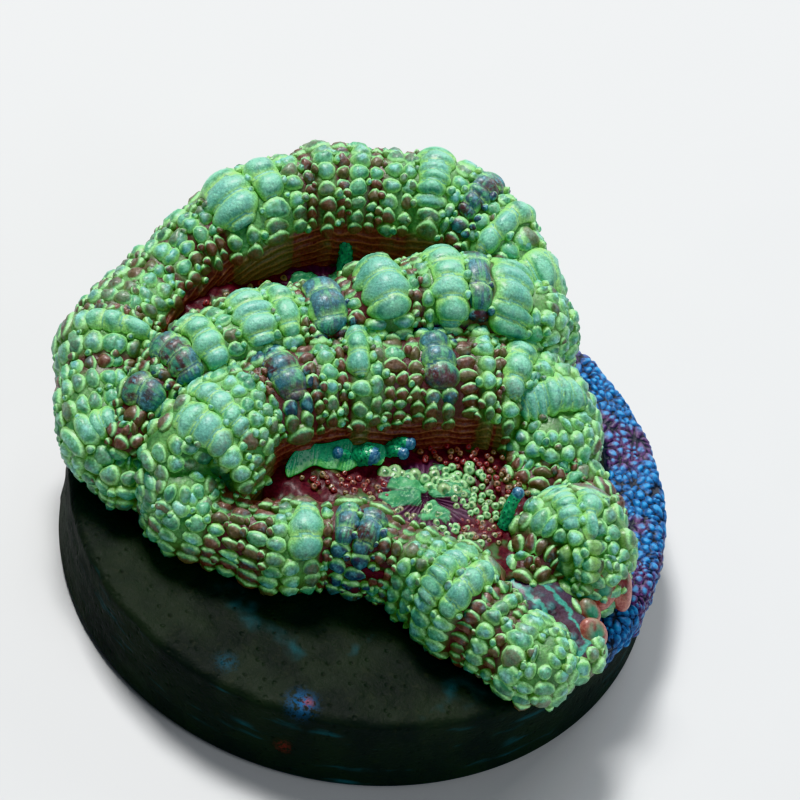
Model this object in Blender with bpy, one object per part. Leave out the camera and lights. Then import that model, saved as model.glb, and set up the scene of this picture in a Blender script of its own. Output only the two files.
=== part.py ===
"""Acan coral frag: a colony of two fleshy polyps grown on a round ceramic plug.

The colony is one grown piece. Thick folds, the rims of its polyps, wind round two sunken oral discs,
and rows of blisters run across each fold from its lip to its foot. A crust of coralline algae covers
the right of the plug's top and rim.

Frame: +Z up, origin at the centre of the plug's flat underside, which rests on a surface. Looking
along +Y shows the open mouth of the front polyp. Sizes here are in millimetres, and MM makes them metres.
"""

from collections import namedtuple
import math
import random

import bmesh
import bpy
import numpy as np
from mathutils import Matrix

MM = 0.001

# Driving dimensions: the plug, and the seat that the colony is cut off flat on
PLUG_RADIUS = 16.0
PLUG_HEIGHT = 5.5
PLUG_CHAMFER = 0.6
PLUG_SEGMENTS = 96
SEAT_GAP = 0.3
SEAT_Z = PLUG_HEIGHT + SEAT_GAP

# The blisters: their spacing round a fold and down it, and how they sit in the flesh
ROW_PITCH = 2.3
BLISTER_PITCH = 2.1
BLISTER_REACH = (1.22, 1.12, 1.0)
BLISTER_SINK = 0.35
FIRST_BLISTER_ANGLE = 12
LAST_BLISTER_ANGLE = 158

# The skin that joins folds and blisters into one body, and how finely it is faceted
SKIN_VOXEL = 0.4
SKIN_TRIANGLE_SHARE = 0.22

# The crust of algae, an arc of the plug's rim from one angle to the other
CRUST_ARC = (-34, 60)
CRUST_INNER_RADIUS = 13.3
CRUST_THICKNESS = 0.55
CRUST_WALL = 0.28
CRUST_SKIRT = 1.8
CRUST_STEPS = 46

# The hollow under the colony's right side that the crust has grown into
UNDERCUT_RADIUS = 12.4
UNDERCUT_HEIGHT = 1.3
UNDERCUT_ARC = (-44, 72)

Colour = namedtuple("Colour", "red green blue roughness")
FLESH_GREEN = Colour(0.20, 0.62, 0.16, 0.35)
PLUG_GREY = Colour(0.05, 0.065, 0.055, 0.8)
CRUST_BLUE = Colour(0.07, 0.16, 0.42, 0.6)

# A station of a fold: the crest's place, and on each side how far the fold reaches and the height at
# which it is widest. Heights are above the plug's top. Left and right are as seen going down the list.
Station = namedtuple("Station", "x y crest left left_z right right_z")

# A fold: its stations, and how far each side tucks in under its widest place, as a share of its reach
Fold = namedtuple("Fold", "stations left_tuck right_tuck blisters")

REAR_RIM = Fold(
    [
        Station(-12.6, -4.2, 3.0, 1.6, 2.0, 1.6, 2.0),
        Station(-13.9, -2.2, 4.3, 2.1, 3.0, 2.2, 3.0),
        Station(-14.7, 0.7, 5.6, 2.1, 3.6, 2.2, 4.4),
        Station(-14.4, 3.9, 6.1, 2.1, 4.0, 2.4, 4.8),
        Station(-13.3, 7.1, 6.3, 2.0, 4.2, 2.6, 4.9),
        Station(-11.9, 9.6, 7.9, 2.0, 4.6, 3.0, 5.0),
        Station(-9.0, 11.6, 9.3, 2.2, 5.0, 3.2, 5.2),
        Station(-5.6, 13.0, 10.2, 2.3, 5.2, 3.2, 5.2),
        Station(-2.0, 13.5, 10.0, 2.3, 5.2, 3.2, 5.2),
        Station(1.6, 14.0, 9.9, 2.3, 5.0, 3.2, 5.2),
        Station(4.8, 13.1, 9.0, 2.2, 4.6, 3.0, 5.0),
        Station(7.0, 11.2, 7.6, 2.0, 4.0, 2.6, 4.6),
        Station(7.9, 9.6, 6.4, 1.6, 3.6, 1.8, 4.0),
    ],
    0.7,
    0.0,
    True,
)
MIDDLE_FOLD = Fold(
    [
        Station(-12.8, -3.4, 4.8, 1.4, 3.6, 1.2, 3.6),
        Station(-12.0, -1.2, 6.3, 1.6, 4.6, 1.3, 5.0),
        Station(-10.6, 0.6, 7.1, 2.2, 5.0, 1.6, 5.8),
        Station(-8.6, 2.3, 7.7, 2.4, 5.2, 1.8, 6.4),
        Station(-6.0, 3.8, 8.1, 2.6, 5.2, 1.8, 6.8),
        Station(-3.4, 4.9, 8.5, 2.8, 5.2, 1.8, 7.0),
        Station(-1.2, 6.1, 9.2, 3.0, 5.2, 2.0, 7.0),
        Station(1.4, 7.3, 9.4, 3.0, 5.2, 2.0, 7.0),
        Station(4.0, 8.0, 9.1, 2.8, 5.0, 2.0, 6.8),
        Station(6.4, 8.3, 8.0, 2.2, 4.4, 1.8, 6.0),
    ],
    0.0,
    0.0,
    True,
)
FRONT_POLYP_BACK = Fold(
    [
        Station(-9.8, -6.0, 4.4, 1.8, 2.6, 2.4, 3.0),
        Station(-9.9, -4.6, 5.8, 2.0, 4.0, 3.6, 3.4),
        Station(-8.8, -2.7, 6.8, 1.8, 5.4, 3.6, 3.8),
        Station(-7.0, -0.6, 7.3, 1.4, 6.2, 3.2, 4.0),
        Station(-4.8, 1.2, 7.6, 1.4, 6.8, 3.4, 4.0),
        Station(-2.4, 2.3, 7.8, 1.4, 7.0, 3.4, 4.0),
        Station(0.2, 3.0, 7.8, 1.4, 7.0, 3.2, 4.0),
        Station(2.8, 4.0, 7.6, 1.4, 6.8, 3.2, 4.0),
        Station(5.4, 4.9, 7.2, 1.8, 5.8, 3.4, 4.0),
        Station(7.8, 4.8, 6.4, 2.4, 3.8, 3.2, 3.6),
        Station(8.9, 3.0, 5.0, 2.4, 3.0, 2.2, 3.2),
    ],
    0.6,
    0.0,
    True,
)
FRONT_RIM = Fold(
    [
        Station(-9.9, -6.6, 3.6, 2.0, 3.0, 1.7, 1.6),
        Station(-8.2, -7.0, 3.5, 2.2, 3.0, 1.7, 1.5),
        Station(-5.9, -7.1, 3.6, 1.6, 3.3, 1.6, 1.4),
        Station(-3.4, -7.2, 4.1, 2.2, 3.3, 1.9, 1.4),
        Station(-0.6, -6.7, 4.4, 2.3, 3.2, 1.6, 1.5),
        Station(2.4, -7.3, 4.5, 2.5, 3.2, 1.8, 1.5),
        Station(5.2, -8.6, 4.5, 2.8, 3.0, 2.0, 1.4),
        Station(7.9, -10.0, 4.0, 2.6, 2.6, 2.0, 1.3),
        Station(10.4, -10.9, 3.3, 2.3, 1.8, 1.9, 1.2),
    ],
    0.0,
    0.5,
    True,
)
RIGHT_LOBE = Fold(
    [
        Station(9.3, -5.4, 3.6, 1.2, 2.8, 1.4, 2.6),
        Station(9.8, -4.0, 5.0, 1.8, 3.4, 2.4, 3.0),
        Station(11.4, -3.2, 5.4, 2.0, 3.4, 3.0, 2.8),
        Station(12.8, -3.3, 5.0, 1.8, 3.0, 2.8, 2.6),
        Station(13.4, -4.6, 3.8, 1.2, 2.6, 1.8, 2.4),
    ],
    0.6,
    0.4,
    True,
)
RIGHT_SHOULDER = Fold(
    [
        Station(8.4, 1.0, 3.8, 1.6, 2.6, 1.8, 3.0),
        Station(10.4, 0.9, 3.9, 1.9, 2.4, 1.8, 2.6),
        Station(12.0, -0.4, 3.3, 1.8, 2.0, 1.6, 2.2),
    ],
    0.5,
    0.0,
    True,
)
LOWER_FLAP = Fold(
    [
        Station(9.0, -6.6, 3.0, 1.6, 2.2, 1.4, 2.2),
        Station(11.0, -8.0, 2.9, 1.9, 1.8, 1.6, 1.8),
        Station(12.4, -9.4, 2.3, 1.5, 1.4, 1.5, 1.4),
    ],
    0.4,
    0.2,
    True,
)
REAR_DISC = Fold(
    [
        Station(-12.6, 1.6, 4.6, 2.2, 3.6, 2.2, 3.6),
        Station(-10.2, 5.2, 5.0, 3.0, 4.2, 3.0, 4.2),
        Station(-6.4, 8.0, 5.1, 3.4, 4.2, 3.4, 4.2),
        Station(-2.0, 9.8, 5.1, 3.4, 4.2, 3.4, 4.2),
        Station(3.6, 10.4, 5.0, 3.0, 4.0, 3.0, 4.0),
    ],
    0.0,
    0.0,
    False,
)
FRONT_DISC = Fold(
    [
        Station(-3.6, -4.6, 3.3, 2.4, 2.8, 2.4, 2.8),
        Station(0.6, -3.2, 3.4, 3.8, 2.8, 3.8, 2.8),
        Station(4.6, -3.0, 3.4, 4.6, 2.8, 4.2, 2.8),
        Station(8.0, -3.4, 3.2, 4.2, 2.6, 4.2, 2.6),
    ],
    0.0,
    0.0,
    False,
)
CORE = Fold(
    [
        Station(-10.0, 0.0, 4.4, 4.4, 2.6, 5.2, 2.4),
        Station(-3.0, 3.4, 4.8, 6.6, 3.0, 6.4, 2.6),
        Station(4.4, 4.6, 4.4, 5.4, 2.6, 5.6, 2.4),
    ],
    0.0,
    0.0,
    False,
)
FOLDS = [
    REAR_RIM,
    MIDDLE_FOLD,
    FRONT_POLYP_BACK,
    FRONT_RIM,
    RIGHT_LOBE,
    RIGHT_SHOULDER,
    LOWER_FLAP,
    REAR_DISC,
    FRONT_DISC,
    CORE,
]


def clear_scene():
    """Removes what the startup file holds."""
    for thing in list(bpy.data.objects):
        bpy.data.objects.remove(thing)


def material(name, colour):
    """A Principled material of that colour and roughness."""
    made = bpy.data.materials.new(name)
    made.use_nodes = True
    shader = made.node_tree.nodes["Principled BSDF"]
    shader.inputs["Base Color"].default_value = (colour.red, colour.green, colour.blue, 1)
    shader.inputs["Roughness"].default_value = colour.roughness
    return made


def new_object(name, bm, finish):
    """A mesh object made from bm, in millimetres, at its real size."""
    bmesh.ops.transform(bm, matrix=Matrix.Scale(MM, 4), verts=bm.verts)
    mesh = bpy.data.meshes.new(name)
    bm.to_mesh(mesh)
    bm.free()
    mesh.materials.append(finish)
    made = bpy.data.objects.new(name, mesh)
    bpy.context.scene.collection.objects.link(made)
    return made


def smooth_through(stations, at):
    """Catmull-Rom values of the stations' numbers at places counted in stations, from 0 to the last."""
    points = np.array(stations, float)
    padded = np.vstack([2 * points[0] - points[1], points, 2 * points[-1] - points[-2]])
    first = np.clip(np.floor(at).astype(int), 0, len(points) - 2)
    u = (at - first)[:, None]
    a, b, c, d = (padded[first + k] for k in range(4))
    return b + 0.5 * u * (c - a + u * (2 * a - 5 * b + 4 * c - d + u * (3 * (b - c) + d - a)))


def spine_of(fold, spacing):
    """Values of the fold's stations at about that spacing along its crest, and its unit left normals."""
    fine = smooth_through(fold.stations, np.linspace(0, len(fold.stations) - 1, 400))
    steps = np.hypot(*np.diff(fine[:, :2], axis=0).T)
    travelled = np.concatenate([[0], np.cumsum(steps)])
    count = max(3, round(travelled[-1] / spacing) + 1)
    even = np.linspace(0, travelled[-1], count)
    values = np.stack([np.interp(even, travelled, column) for column in fine.T], axis=1)
    tangent = np.gradient(values[:, :2], axis=0)
    tangent /= np.linalg.norm(tangent, axis=1)[:, None]
    return values, np.stack([-tangent[:, 1], tangent[:, 0]], axis=1)


def ribs_of(fold, spacing):
    """The fold's ribs in order right round it, each (x, y, crest, way out x, way out y, reach, z, tuck).

    They go down its left side, fan round its far end, come back up its right side and fan round its
    near end, so that the fold is closed like a stadium."""
    values, normal = spine_of(fold, spacing)
    left = [(*v[:3], *n, v[3], v[4], fold.left_tuck) for v, n in zip(values, normal)]
    right = [(*v[:3], *-n, v[5], v[6], fold.right_tuck) for v, n in zip(values, normal)]

    def fan(start, end):
        """Ribs between two opposite ones at an end, turning clockwise from start to end."""
        steps = max(3, round(math.pi * 0.5 * (start[5] + end[5]) / spacing))
        made = []
        for k in range(1, steps):
            share = k / steps
            turn = -math.pi * share
            way = (
                start[3] * math.cos(turn) - start[4] * math.sin(turn),
                start[3] * math.sin(turn) + start[4] * math.cos(turn),
            )
            mixed = [p + (q - p) * share for p, q in zip(start[5:], end[5:])]
            made.append((*start[:3], *way, *mixed))
        return made

    far = fan(left[-1], right[-1])
    near = fan(right[0], left[0])
    return np.array(left + far + right[::-1] + near)


def on_fold(ribs, angle):
    """Points on ribs at an angle from the crest, 0, past the widest place, 90, to the base, 180.

    From the crest to the widest place a rib is a quarter of an ellipse, and below it another quarter
    that tucks in by its share of the reach."""
    a = np.radians(angle)
    reach, wide_z, tuck = ribs[:, 5], ribs[:, 6], ribs[:, 7]
    above = angle <= 90
    out = np.where(above, reach * np.sin(a), reach * (1 - tuck * (1 - np.sin(a))))
    up = np.where(above, wide_z + (ribs[:, 2] - wide_z) * np.cos(a), wide_z * (1 + np.cos(a)))
    return np.stack([ribs[:, 0] + out * ribs[:, 3], ribs[:, 1] + out * ribs[:, 4], up + SEAT_Z], axis=1)


def add_fold(bm, fold):
    """Adds a fold's closed wall, from its crest down to its base, to bm."""
    ribs = ribs_of(fold, 0.9)
    angles = np.linspace(0, 180, 15)
    rings = [[bm.verts.new(p) for p in on_fold(ribs, np.full(len(ribs), a))] for a in angles]
    rings.append([bm.verts.new((r[0], r[1], SEAT_Z)) for r in ribs])
    count = len(ribs)
    for upper, lower in zip(rings, rings[1:]):
        for k in range(count):
            nxt = (k + 1) % count
            bm.faces.new((upper[k], lower[k], lower[nxt], upper[nxt]))


def blister_mesh(bm, centre, axes, radii):
    """Adds one low ellipsoid to bm, with its own directions."""
    turn = Matrix([*zip(*axes)]).to_4x4()
    place = Matrix.Translation(centre) @ turn @ Matrix.Diagonal((*radii, 1))
    bmesh.ops.create_icosphere(bm, subdivisions=1, radius=1, matrix=place)


def add_blisters(bm, fold, rng):
    """Adds rows of blisters to bm, one row down every rib of the fold from its crest to near its base."""
    ribs = ribs_of(fold, ROW_PITCH)
    fine = np.arange(FIRST_BLISTER_ANGLE, LAST_BLISTER_ANGLE + 1, 2.0)
    for rib in ribs:
        repeated = np.tile(rib, (len(fine), 1))
        path = on_fold(repeated, fine)
        steps = np.linalg.norm(np.diff(path, axis=0), axis=1)
        travelled = np.concatenate([[0], np.cumsum(steps)])
        across = np.array([-rib[4], rib[3], 0.0])
        wide = BLISTER_REACH[0] * rng.uniform(0.82, 1.18)
        for place in np.arange(rng.uniform(0.1, 0.7), travelled[-1], BLISTER_PITCH):
            centre = np.array([np.interp(place, travelled, column) for column in path.T])
            ahead = np.array([np.interp(place + 0.2, travelled, column) for column in path.T])
            down = ahead - centre
            length = np.linalg.norm(down)
            if length < 1e-6:
                continue
            down /= length
            out = np.cross(across, down)
            out *= math.copysign(1, out @ np.array([rib[3], rib[4], 0.6]))
            centre -= out * BLISTER_SINK
            size = rng.uniform(0.9, 1.12)
            radii = (wide * size, BLISTER_REACH[1] * size, BLISTER_REACH[2] * size)
            blister_mesh(bm, centre, (across, down, out), radii)


def cutter(name, bm):
    """A tool that shapes the colony and isn't a piece of the part."""
    made = new_object(name, bm, material(name, PLUG_GREY))
    made.hide_render = True
    made.display_type = "WIRE"
    return made


def seat_cutter():
    """A slab under the seat, which cuts the colony off flat there."""
    bm = bmesh.new()
    size = Matrix.Diagonal((60, 60, 8, 1))
    bmesh.ops.create_cube(bm, size=1, matrix=Matrix.Translation((0, 0, SEAT_Z - 4)) @ size)
    return cutter("seat_cutter", bm)


def undercut_cutter():
    """A sector of a ring, which hollows the colony's right foot so that the crust fits under it."""
    bm = bmesh.new()
    start, end = (math.radians(a) for a in UNDERCUT_ARC)
    section = [
        (UNDERCUT_RADIUS, SEAT_Z - 1),
        (22, SEAT_Z - 1),
        (22, SEAT_Z + UNDERCUT_HEIGHT + 0.5),
        (UNDERCUT_RADIUS + 0.5, SEAT_Z + UNDERCUT_HEIGHT),
    ]
    verts = [bm.verts.new((r * math.cos(start), r * math.sin(start), z)) for r, z in section]
    face = bm.faces.new(verts)
    bmesh.ops.spin(bm, geom=[face], cent=(0, 0, 0), axis=(0, 0, 1), angle=end - start, steps=24)
    bmesh.ops.recalc_face_normals(bm, faces=bm.faces)
    return cutter("undercut_cutter", bm)


def coral_colony():
    """The colony: folds, oral discs and blisters joined by one skin, then cut off flat at the seat."""
    bm = bmesh.new()
    rng = random.Random(11)
    for fold in FOLDS:
        add_fold(bm, fold)
        if fold.blisters:
            add_blisters(bm, fold, rng)
    bmesh.ops.remove_doubles(bm, verts=bm.verts, dist=1e-4)
    bmesh.ops.recalc_face_normals(bm, faces=bm.faces)
    colony = new_object("coral_colony", bm, material("coral_flesh", FLESH_GREEN))
    skin = colony.modifiers.new("skin", "REMESH")
    skin.mode = "VOXEL"
    skin.voxel_size = SKIN_VOXEL * MM
    facets = colony.modifiers.new("facets", "DECIMATE")
    facets.ratio = SKIN_TRIANGLE_SHARE
    facets.use_collapse_triangulate = True
    for tool in (seat_cutter(), undercut_cutter()):
        cut = colony.modifiers.new(tool.name, "BOOLEAN")
        cut.operation = "DIFFERENCE"
        cut.object = tool
    return colony


def turned(name, profile, segments, finish):
    """A solid turned about Z from a profile of (radius, height) that starts and ends on the axis."""
    bm = bmesh.new()
    verts = [bm.verts.new((radius, 0, height)) for radius, height in profile]
    edges = [bm.edges.new(pair) for pair in zip(verts, verts[1:])]
    bmesh.ops.spin(bm, geom=verts + edges, cent=(0, 0, 0), axis=(0, 0, 1), angle=2 * math.pi, steps=segments)
    bmesh.ops.remove_doubles(bm, verts=bm.verts, dist=1e-4)
    bmesh.ops.recalc_face_normals(bm, faces=bm.faces)
    made = new_object(name, bm, finish)
    made.data.shade_smooth()
    made.data.set_sharp_from_angle(angle=math.radians(35))
    return made


def frag_plug():
    """The plug: a flat ceramic disc with both of its edges chamfered."""
    profile = [
        (0, 0),
        (PLUG_RADIUS - PLUG_CHAMFER, 0),
        (PLUG_RADIUS, PLUG_CHAMFER),
        (PLUG_RADIUS, PLUG_HEIGHT - PLUG_CHAMFER),
        (PLUG_RADIUS - PLUG_CHAMFER, PLUG_HEIGHT),
        (0, PLUG_HEIGHT),
    ]
    return turned("frag_plug", profile, PLUG_SEGMENTS, material("plug_ceramic", PLUG_GREY))


def crust_section(share, thickness):
    """The crust's section at a share of its arc, as (radius, height) points: over the top, round the
    rim and down the wall, then back along the plug with a gap under it."""
    outside = PLUG_RADIUS + SEAT_GAP
    top = SEAT_Z
    foot = PLUG_HEIGHT - PLUG_CHAMFER - CRUST_SKIRT * math.sin(math.pi * share) - 0.2
    inner = CRUST_INNER_RADIUS + 0.22 * math.cos(5 * math.pi * share)
    middle = 0.5 * (inner + PLUG_RADIUS)
    wall = CRUST_WALL * thickness / CRUST_THICKNESS
    return [
        (inner, top),
        (inner + 0.3, top + 0.6 * thickness),
        (0.5 * (inner + middle), top + thickness),
        (middle, top + 0.8 * thickness),
        (PLUG_RADIUS - 1.1, top + thickness),
        (PLUG_RADIUS - 0.2, top + 0.6 * thickness),
        (outside + wall, PLUG_HEIGHT - PLUG_CHAMFER),
        (outside + 0.9 * wall, 0.5 * (foot + PLUG_HEIGHT - PLUG_CHAMFER)),
        (outside + 0.1, foot),
        (outside, foot),
        (outside, PLUG_HEIGHT - PLUG_CHAMFER + 0.12),
        (PLUG_RADIUS - PLUG_CHAMFER + 0.12, top),
    ]


def coralline_crust():
    """The crust: its section carried round its arc of the rim, lumpy, and thin at both ends."""
    bm = bmesh.new()
    rings = []
    for step in range(CRUST_STEPS + 1):
        share = step / CRUST_STEPS
        angle = math.radians(CRUST_ARC[0] + (CRUST_ARC[1] - CRUST_ARC[0]) * share)
        thin = min(1, 6 * share + 0.25, 6 * (1 - share) + 0.25)
        lump = 0.28 * math.sin(17 * share * math.pi) + 0.2 * math.sin(29 * share * math.pi + 1)
        section = crust_section(share, CRUST_THICKNESS * thin * (1 + lump))
        rings.append([bm.verts.new((r * math.cos(angle), r * math.sin(angle), z)) for r, z in section])
    for near, far in zip(rings, rings[1:]):
        for k in range(len(near)):
            nxt = (k + 1) % len(near)
            bm.faces.new((near[k], far[k], far[nxt], near[nxt]))
    bm.faces.new(rings[0])
    bm.faces.new(rings[-1][::-1])
    bmesh.ops.recalc_face_normals(bm, faces=bm.faces)
    return new_object("coralline_crust", bm, material("coralline", CRUST_BLUE))


def main():
    clear_scene()
    frag_plug()
    coralline_crust()
    coral_colony()


main()
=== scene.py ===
"""The looks of an acan coral frag: a colony of two polyps with blistered rims on a round plug.

The flesh is a set of folds. Each fold is a closed surface of two parameters, a place round the fold and
an angle from its crest down to its foot. Rows of blisters lie across it. Lengths are in millimetres until
a mesh is made, where MM makes them metres.
"""

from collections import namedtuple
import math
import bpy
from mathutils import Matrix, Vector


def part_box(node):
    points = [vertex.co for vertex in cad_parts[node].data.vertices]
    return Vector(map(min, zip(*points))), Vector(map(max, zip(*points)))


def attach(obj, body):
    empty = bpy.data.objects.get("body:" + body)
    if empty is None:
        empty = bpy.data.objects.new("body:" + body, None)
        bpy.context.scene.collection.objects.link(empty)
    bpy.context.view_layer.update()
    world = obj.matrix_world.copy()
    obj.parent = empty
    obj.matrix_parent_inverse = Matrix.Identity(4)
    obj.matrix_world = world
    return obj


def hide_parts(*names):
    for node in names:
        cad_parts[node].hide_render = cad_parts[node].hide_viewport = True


bl_info = {
    "name": "Acan coral frag",
    "version": (1, 0, 0),
    "blender": (4, 5, 0),
    "location": "3D View > Sidebar > Coral",
    "description": "Builds the flesh, blisters, mouths, plug and crust of an acan coral frag",
    "category": "Add Mesh",
}

import bmesh
import bpy
import numpy as np
from mathutils import Matrix, Vector

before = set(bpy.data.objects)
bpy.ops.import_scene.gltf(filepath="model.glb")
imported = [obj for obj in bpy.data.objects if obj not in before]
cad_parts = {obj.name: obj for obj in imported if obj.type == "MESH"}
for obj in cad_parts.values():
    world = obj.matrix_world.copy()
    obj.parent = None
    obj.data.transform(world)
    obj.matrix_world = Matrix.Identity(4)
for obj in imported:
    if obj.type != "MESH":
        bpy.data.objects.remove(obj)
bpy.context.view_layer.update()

MM = 0.001
BODY = "root"

PLUG_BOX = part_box("frag_plug")
PLUG_RADIUS = (PLUG_BOX[1].x - PLUG_BOX[0].x) / 2 / MM
PLUG_TOP = PLUG_BOX[1].z / MM
SEAT_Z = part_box("coral_colony")[0].z / MM

# A fold is read along its crest, and left and right are as seen going down its list of stations. A station is
# (x, y, height of the crest, reach to the left, height of the widest place there, the same two on the right),
# with heights above the plug. tucks are the shares of the reach, left and right, by which the foot draws in.
# left and right hold the angle from the crest where the blisters stop, at the near end, in the middle and at
# the far end. A row is a letter for its tone and its width in tenths of a millimetre. lobed is the share of a
# side down which lobes reach, a lip is a side's stretch of smooth striped angles, and no blisters lie nearer
# the crest than the angle bare.
FOLD_FIELDS = "name stations tucks left right rows lobed left_lip right_lip bare"
Fold = namedtuple("Fold", FOLD_FIELDS, defaults=(None, None, 0))

REAR_RIM = Fold(
    "rear_rim",
    [
        (-12.6, -4.2, 3.0, 1.6, 2.0, 1.6, 2.0), (-13.9, -2.2, 4.4, 2.5, 3.0, 2.2, 3.0),
        (-14.7, 0.7, 5.7, 2.5, 3.6, 2.2, 4.4), (-14.4, 3.9, 6.2, 2.5, 4.0, 2.4, 4.8),
        (-13.3, 7.1, 6.2, 1.7, 4.2, 2.6, 4.9), (-11.8, 9.4, 7.6, 1.6, 4.6, 3.0, 5.0),
        (-9.0, 11.6, 9.3, 2.0, 5.0, 3.2, 5.2), (-5.6, 13.3, 10.05, 2.3, 5.2, 3.2, 5.2),
        (-2.0, 13.9, 10.0, 2.3, 5.2, 3.2, 5.2), (1.6, 14.0, 9.9, 2.3, 5.0, 3.2, 5.2),
        (4.6, 12.6, 8.8, 1.8, 4.6, 3.0, 5.0), (6.7, 10.9, 7.5, 1.2, 4.0, 2.6, 4.6),
        (7.8, 9.4, 6.4, 1.3, 3.6, 1.8, 4.0),
    ],
    tucks=(0.7, 0.0), left=(150, 150, 150), right=(140, 62, 80), lobed=0.7, right_lip=(60, 104),
    rows="G10 L13 G10 G10 B8 G10 M13 B6 G9 G9 G11 B9 G10 B10 G8 B7 L22 L18 G11 B7 G12 B9 G11 B8"
    " G10 G8 M19 G11 D14 G8 L12 G12 L22 G7",
)
MIDDLE_FOLD = Fold(
    "middle_fold",
    [
        (-12.8, -3.4, 4.8, 1.4, 3.6, 1.2, 3.6), (-12.0, -1.2, 6.3, 1.6, 4.6, 1.3, 5.0),
        (-10.6, 0.6, 7.1, 2.2, 5.0, 1.6, 5.8), (-8.6, 2.3, 7.7, 2.4, 5.2, 1.8, 6.4),
        (-6.0, 3.8, 8.1, 2.6, 5.2, 1.8, 6.8), (-3.4, 4.9, 8.5, 2.8, 5.2, 1.8, 7.0),
        (-1.2, 6.1, 9.2, 3.0, 5.2, 2.0, 7.0), (1.4, 7.3, 9.4, 3.0, 5.2, 2.0, 7.0),
        (4.0, 8.0, 9.1, 2.8, 5.0, 2.0, 6.8), (6.4, 8.3, 8.0, 2.2, 4.4, 1.8, 6.0),
    ],
    tucks=(0.0, 0.0), left=(80, 60, 130), right=(110, 86, 130), lobed=1.0, left_lip=(56, 96),
    rows="B8 D15 B7 D16 L16 G10 L20 M14 B6 D20 B9 M24 B7 G7 L19 D14 M23",
)
FRONT_POLYP_BACK = Fold(
    "front_polyp_back",
    [
        (-9.6, -5.6, 4.3, 1.6, 2.6, 2.0, 3.0), (-9.9, -4.6, 5.8, 2.0, 4.0, 3.6, 3.4),
        (-8.8, -2.7, 6.8, 1.8, 5.4, 3.6, 3.8), (-7.0, -0.6, 7.3, 1.4, 6.2, 3.2, 4.0),
        (-4.8, 1.2, 7.6, 1.4, 6.8, 3.4, 4.0), (-2.4, 2.3, 7.8, 1.4, 7.0, 3.4, 4.0),
        (0.2, 3.0, 7.8, 1.4, 7.0, 3.2, 4.0), (2.8, 4.0, 7.6, 1.4, 6.8, 3.2, 4.0),
        (5.4, 4.9, 7.2, 1.8, 5.8, 3.4, 4.0), (7.8, 4.8, 6.4, 2.4, 3.8, 3.2, 3.6),
        (8.9, 3.0, 5.0, 2.4, 3.0, 2.2, 3.2),
    ],
    tucks=(0.6, 0.0), left=(150, 84, 150), right=(150, 72, 150), lobed=0.62, right_lip=(70, 112),
    rows="G12 L18 L12 L10 G9 B6 D21 B10 G10 B7 M13 G8 B12 B8 D19 B12 L10 B7 L18 G10 M17",
)
FRONT_RIM = Fold(
    "front_rim",
    [
        (-9.3, -6.2, 3.4, 1.7, 2.8, 1.4, 1.6), (-8.0, -6.8, 3.5, 2.2, 3.0, 1.5, 1.5),
        (-5.9, -7.1, 3.6, 1.6, 3.3, 1.6, 1.4), (-3.4, -7.2, 4.1, 2.2, 3.3, 1.9, 1.4),
        (-0.6, -6.7, 4.4, 2.3, 3.2, 1.4, 1.5), (2.4, -7.2, 4.5, 2.5, 3.2, 1.3, 1.5),
        (5.2, -8.5, 4.5, 2.8, 3.0, 1.5, 1.4), (7.9, -10.0, 4.0, 2.6, 2.6, 1.7, 1.3),
        (10.4, -10.9, 3.3, 2.3, 1.8, 1.9, 1.2),
    ],
    tucks=(0.0, 0.5), left=(90, 56, 150), right=(150, 150, 150), lobed=0.75, left_lip=(54, 80),
    rows="L11 G9 B10 B12 B13 G10 M18 B7 D13 D14 B9 B7 G10 G10 M16 M14 B10 G10 B8 G15",
)
RIGHT_LOBE = Fold(
    "right_lobe",
    [
        (9.3, -5.4, 3.6, 1.2, 2.8, 1.4, 2.6), (9.8, -4.0, 5.0, 1.8, 3.4, 2.4, 3.0),
        (11.4, -3.2, 5.4, 2.0, 3.4, 3.0, 2.8), (12.5, -3.3, 5.0, 1.8, 3.0, 2.6, 2.6),
        (12.9, -4.7, 3.8, 1.2, 2.6, 1.7, 2.4),
    ],
    tucks=(0.6, 0.4), left=(150, 150, 150), right=(150, 99, 150), lobed=0.5, right_lip=(108, 150),
    rows="B8 G10 L13 M12 G11 G7",
)
RIGHT_SHOULDER = Fold(
    "right_shoulder",
    [
        (8.4, 1.0, 3.8, 1.6, 2.6, 1.8, 3.0), (10.4, 0.9, 3.9, 1.9, 2.4, 1.8, 2.6),
        (12.0, -0.4, 3.3, 1.8, 2.0, 1.6, 2.2),
    ],
    tucks=(0.5, 0.0), left=(140, 140, 140), right=(100, 100, 120), lobed=0.6,
    rows="B10 B10 G8 B12",
)
LOWER_FLAP = Fold(
    "lower_flap",
    [
        (9.0, -6.6, 3.0, 1.6, 2.2, 1.4, 2.2), (11.0, -8.0, 2.9, 1.9, 1.8, 1.6, 1.8),
        (12.4, -9.4, 2.3, 1.5, 1.4, 1.5, 1.4),
    ],
    tucks=(0.4, 0.2), left=(90, 110, 150), right=(0, 0, 90), lobed=0.7, bare=42,
    rows="B11 G12 B10 G11",
)
FOLDS = [REAR_RIM, MIDDLE_FOLD, FRONT_POLYP_BACK, FRONT_RIM, RIGHT_LOBE, RIGHT_SHOULDER, LOWER_FLAP]

# A row's tone: how brown, how dark blue-grey and how pale it is, and how far it lifts the flesh, in mm
TONES = {
    "G": (0.08, 0.06, 0.25, 0.05),
    "L": (0.0, 0.0, 0.85, 0.3),
    "M": (0.0, 0.28, 0.6, 0.32),
    "B": (0.9, 0.2, 0.0, -0.12),
    "D": (0.12, 0.95, 0.1, 0.18),
}
LOBE_TONES = "LMD"
LOBE_WIDTH = 1.08

# The two oral discs: centre, half lengths, turn in degrees and height above the plug at the middle
Disc = namedtuple("Disc", "centre reach turn height")
FRONT_DISC = Disc((3.2, -3.0), (8.6, 5.2), 8, 3.5)
REAR_DISC = Disc((-4.4, 7.9), (9.6, 3.6), 24, 5.1)


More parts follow.
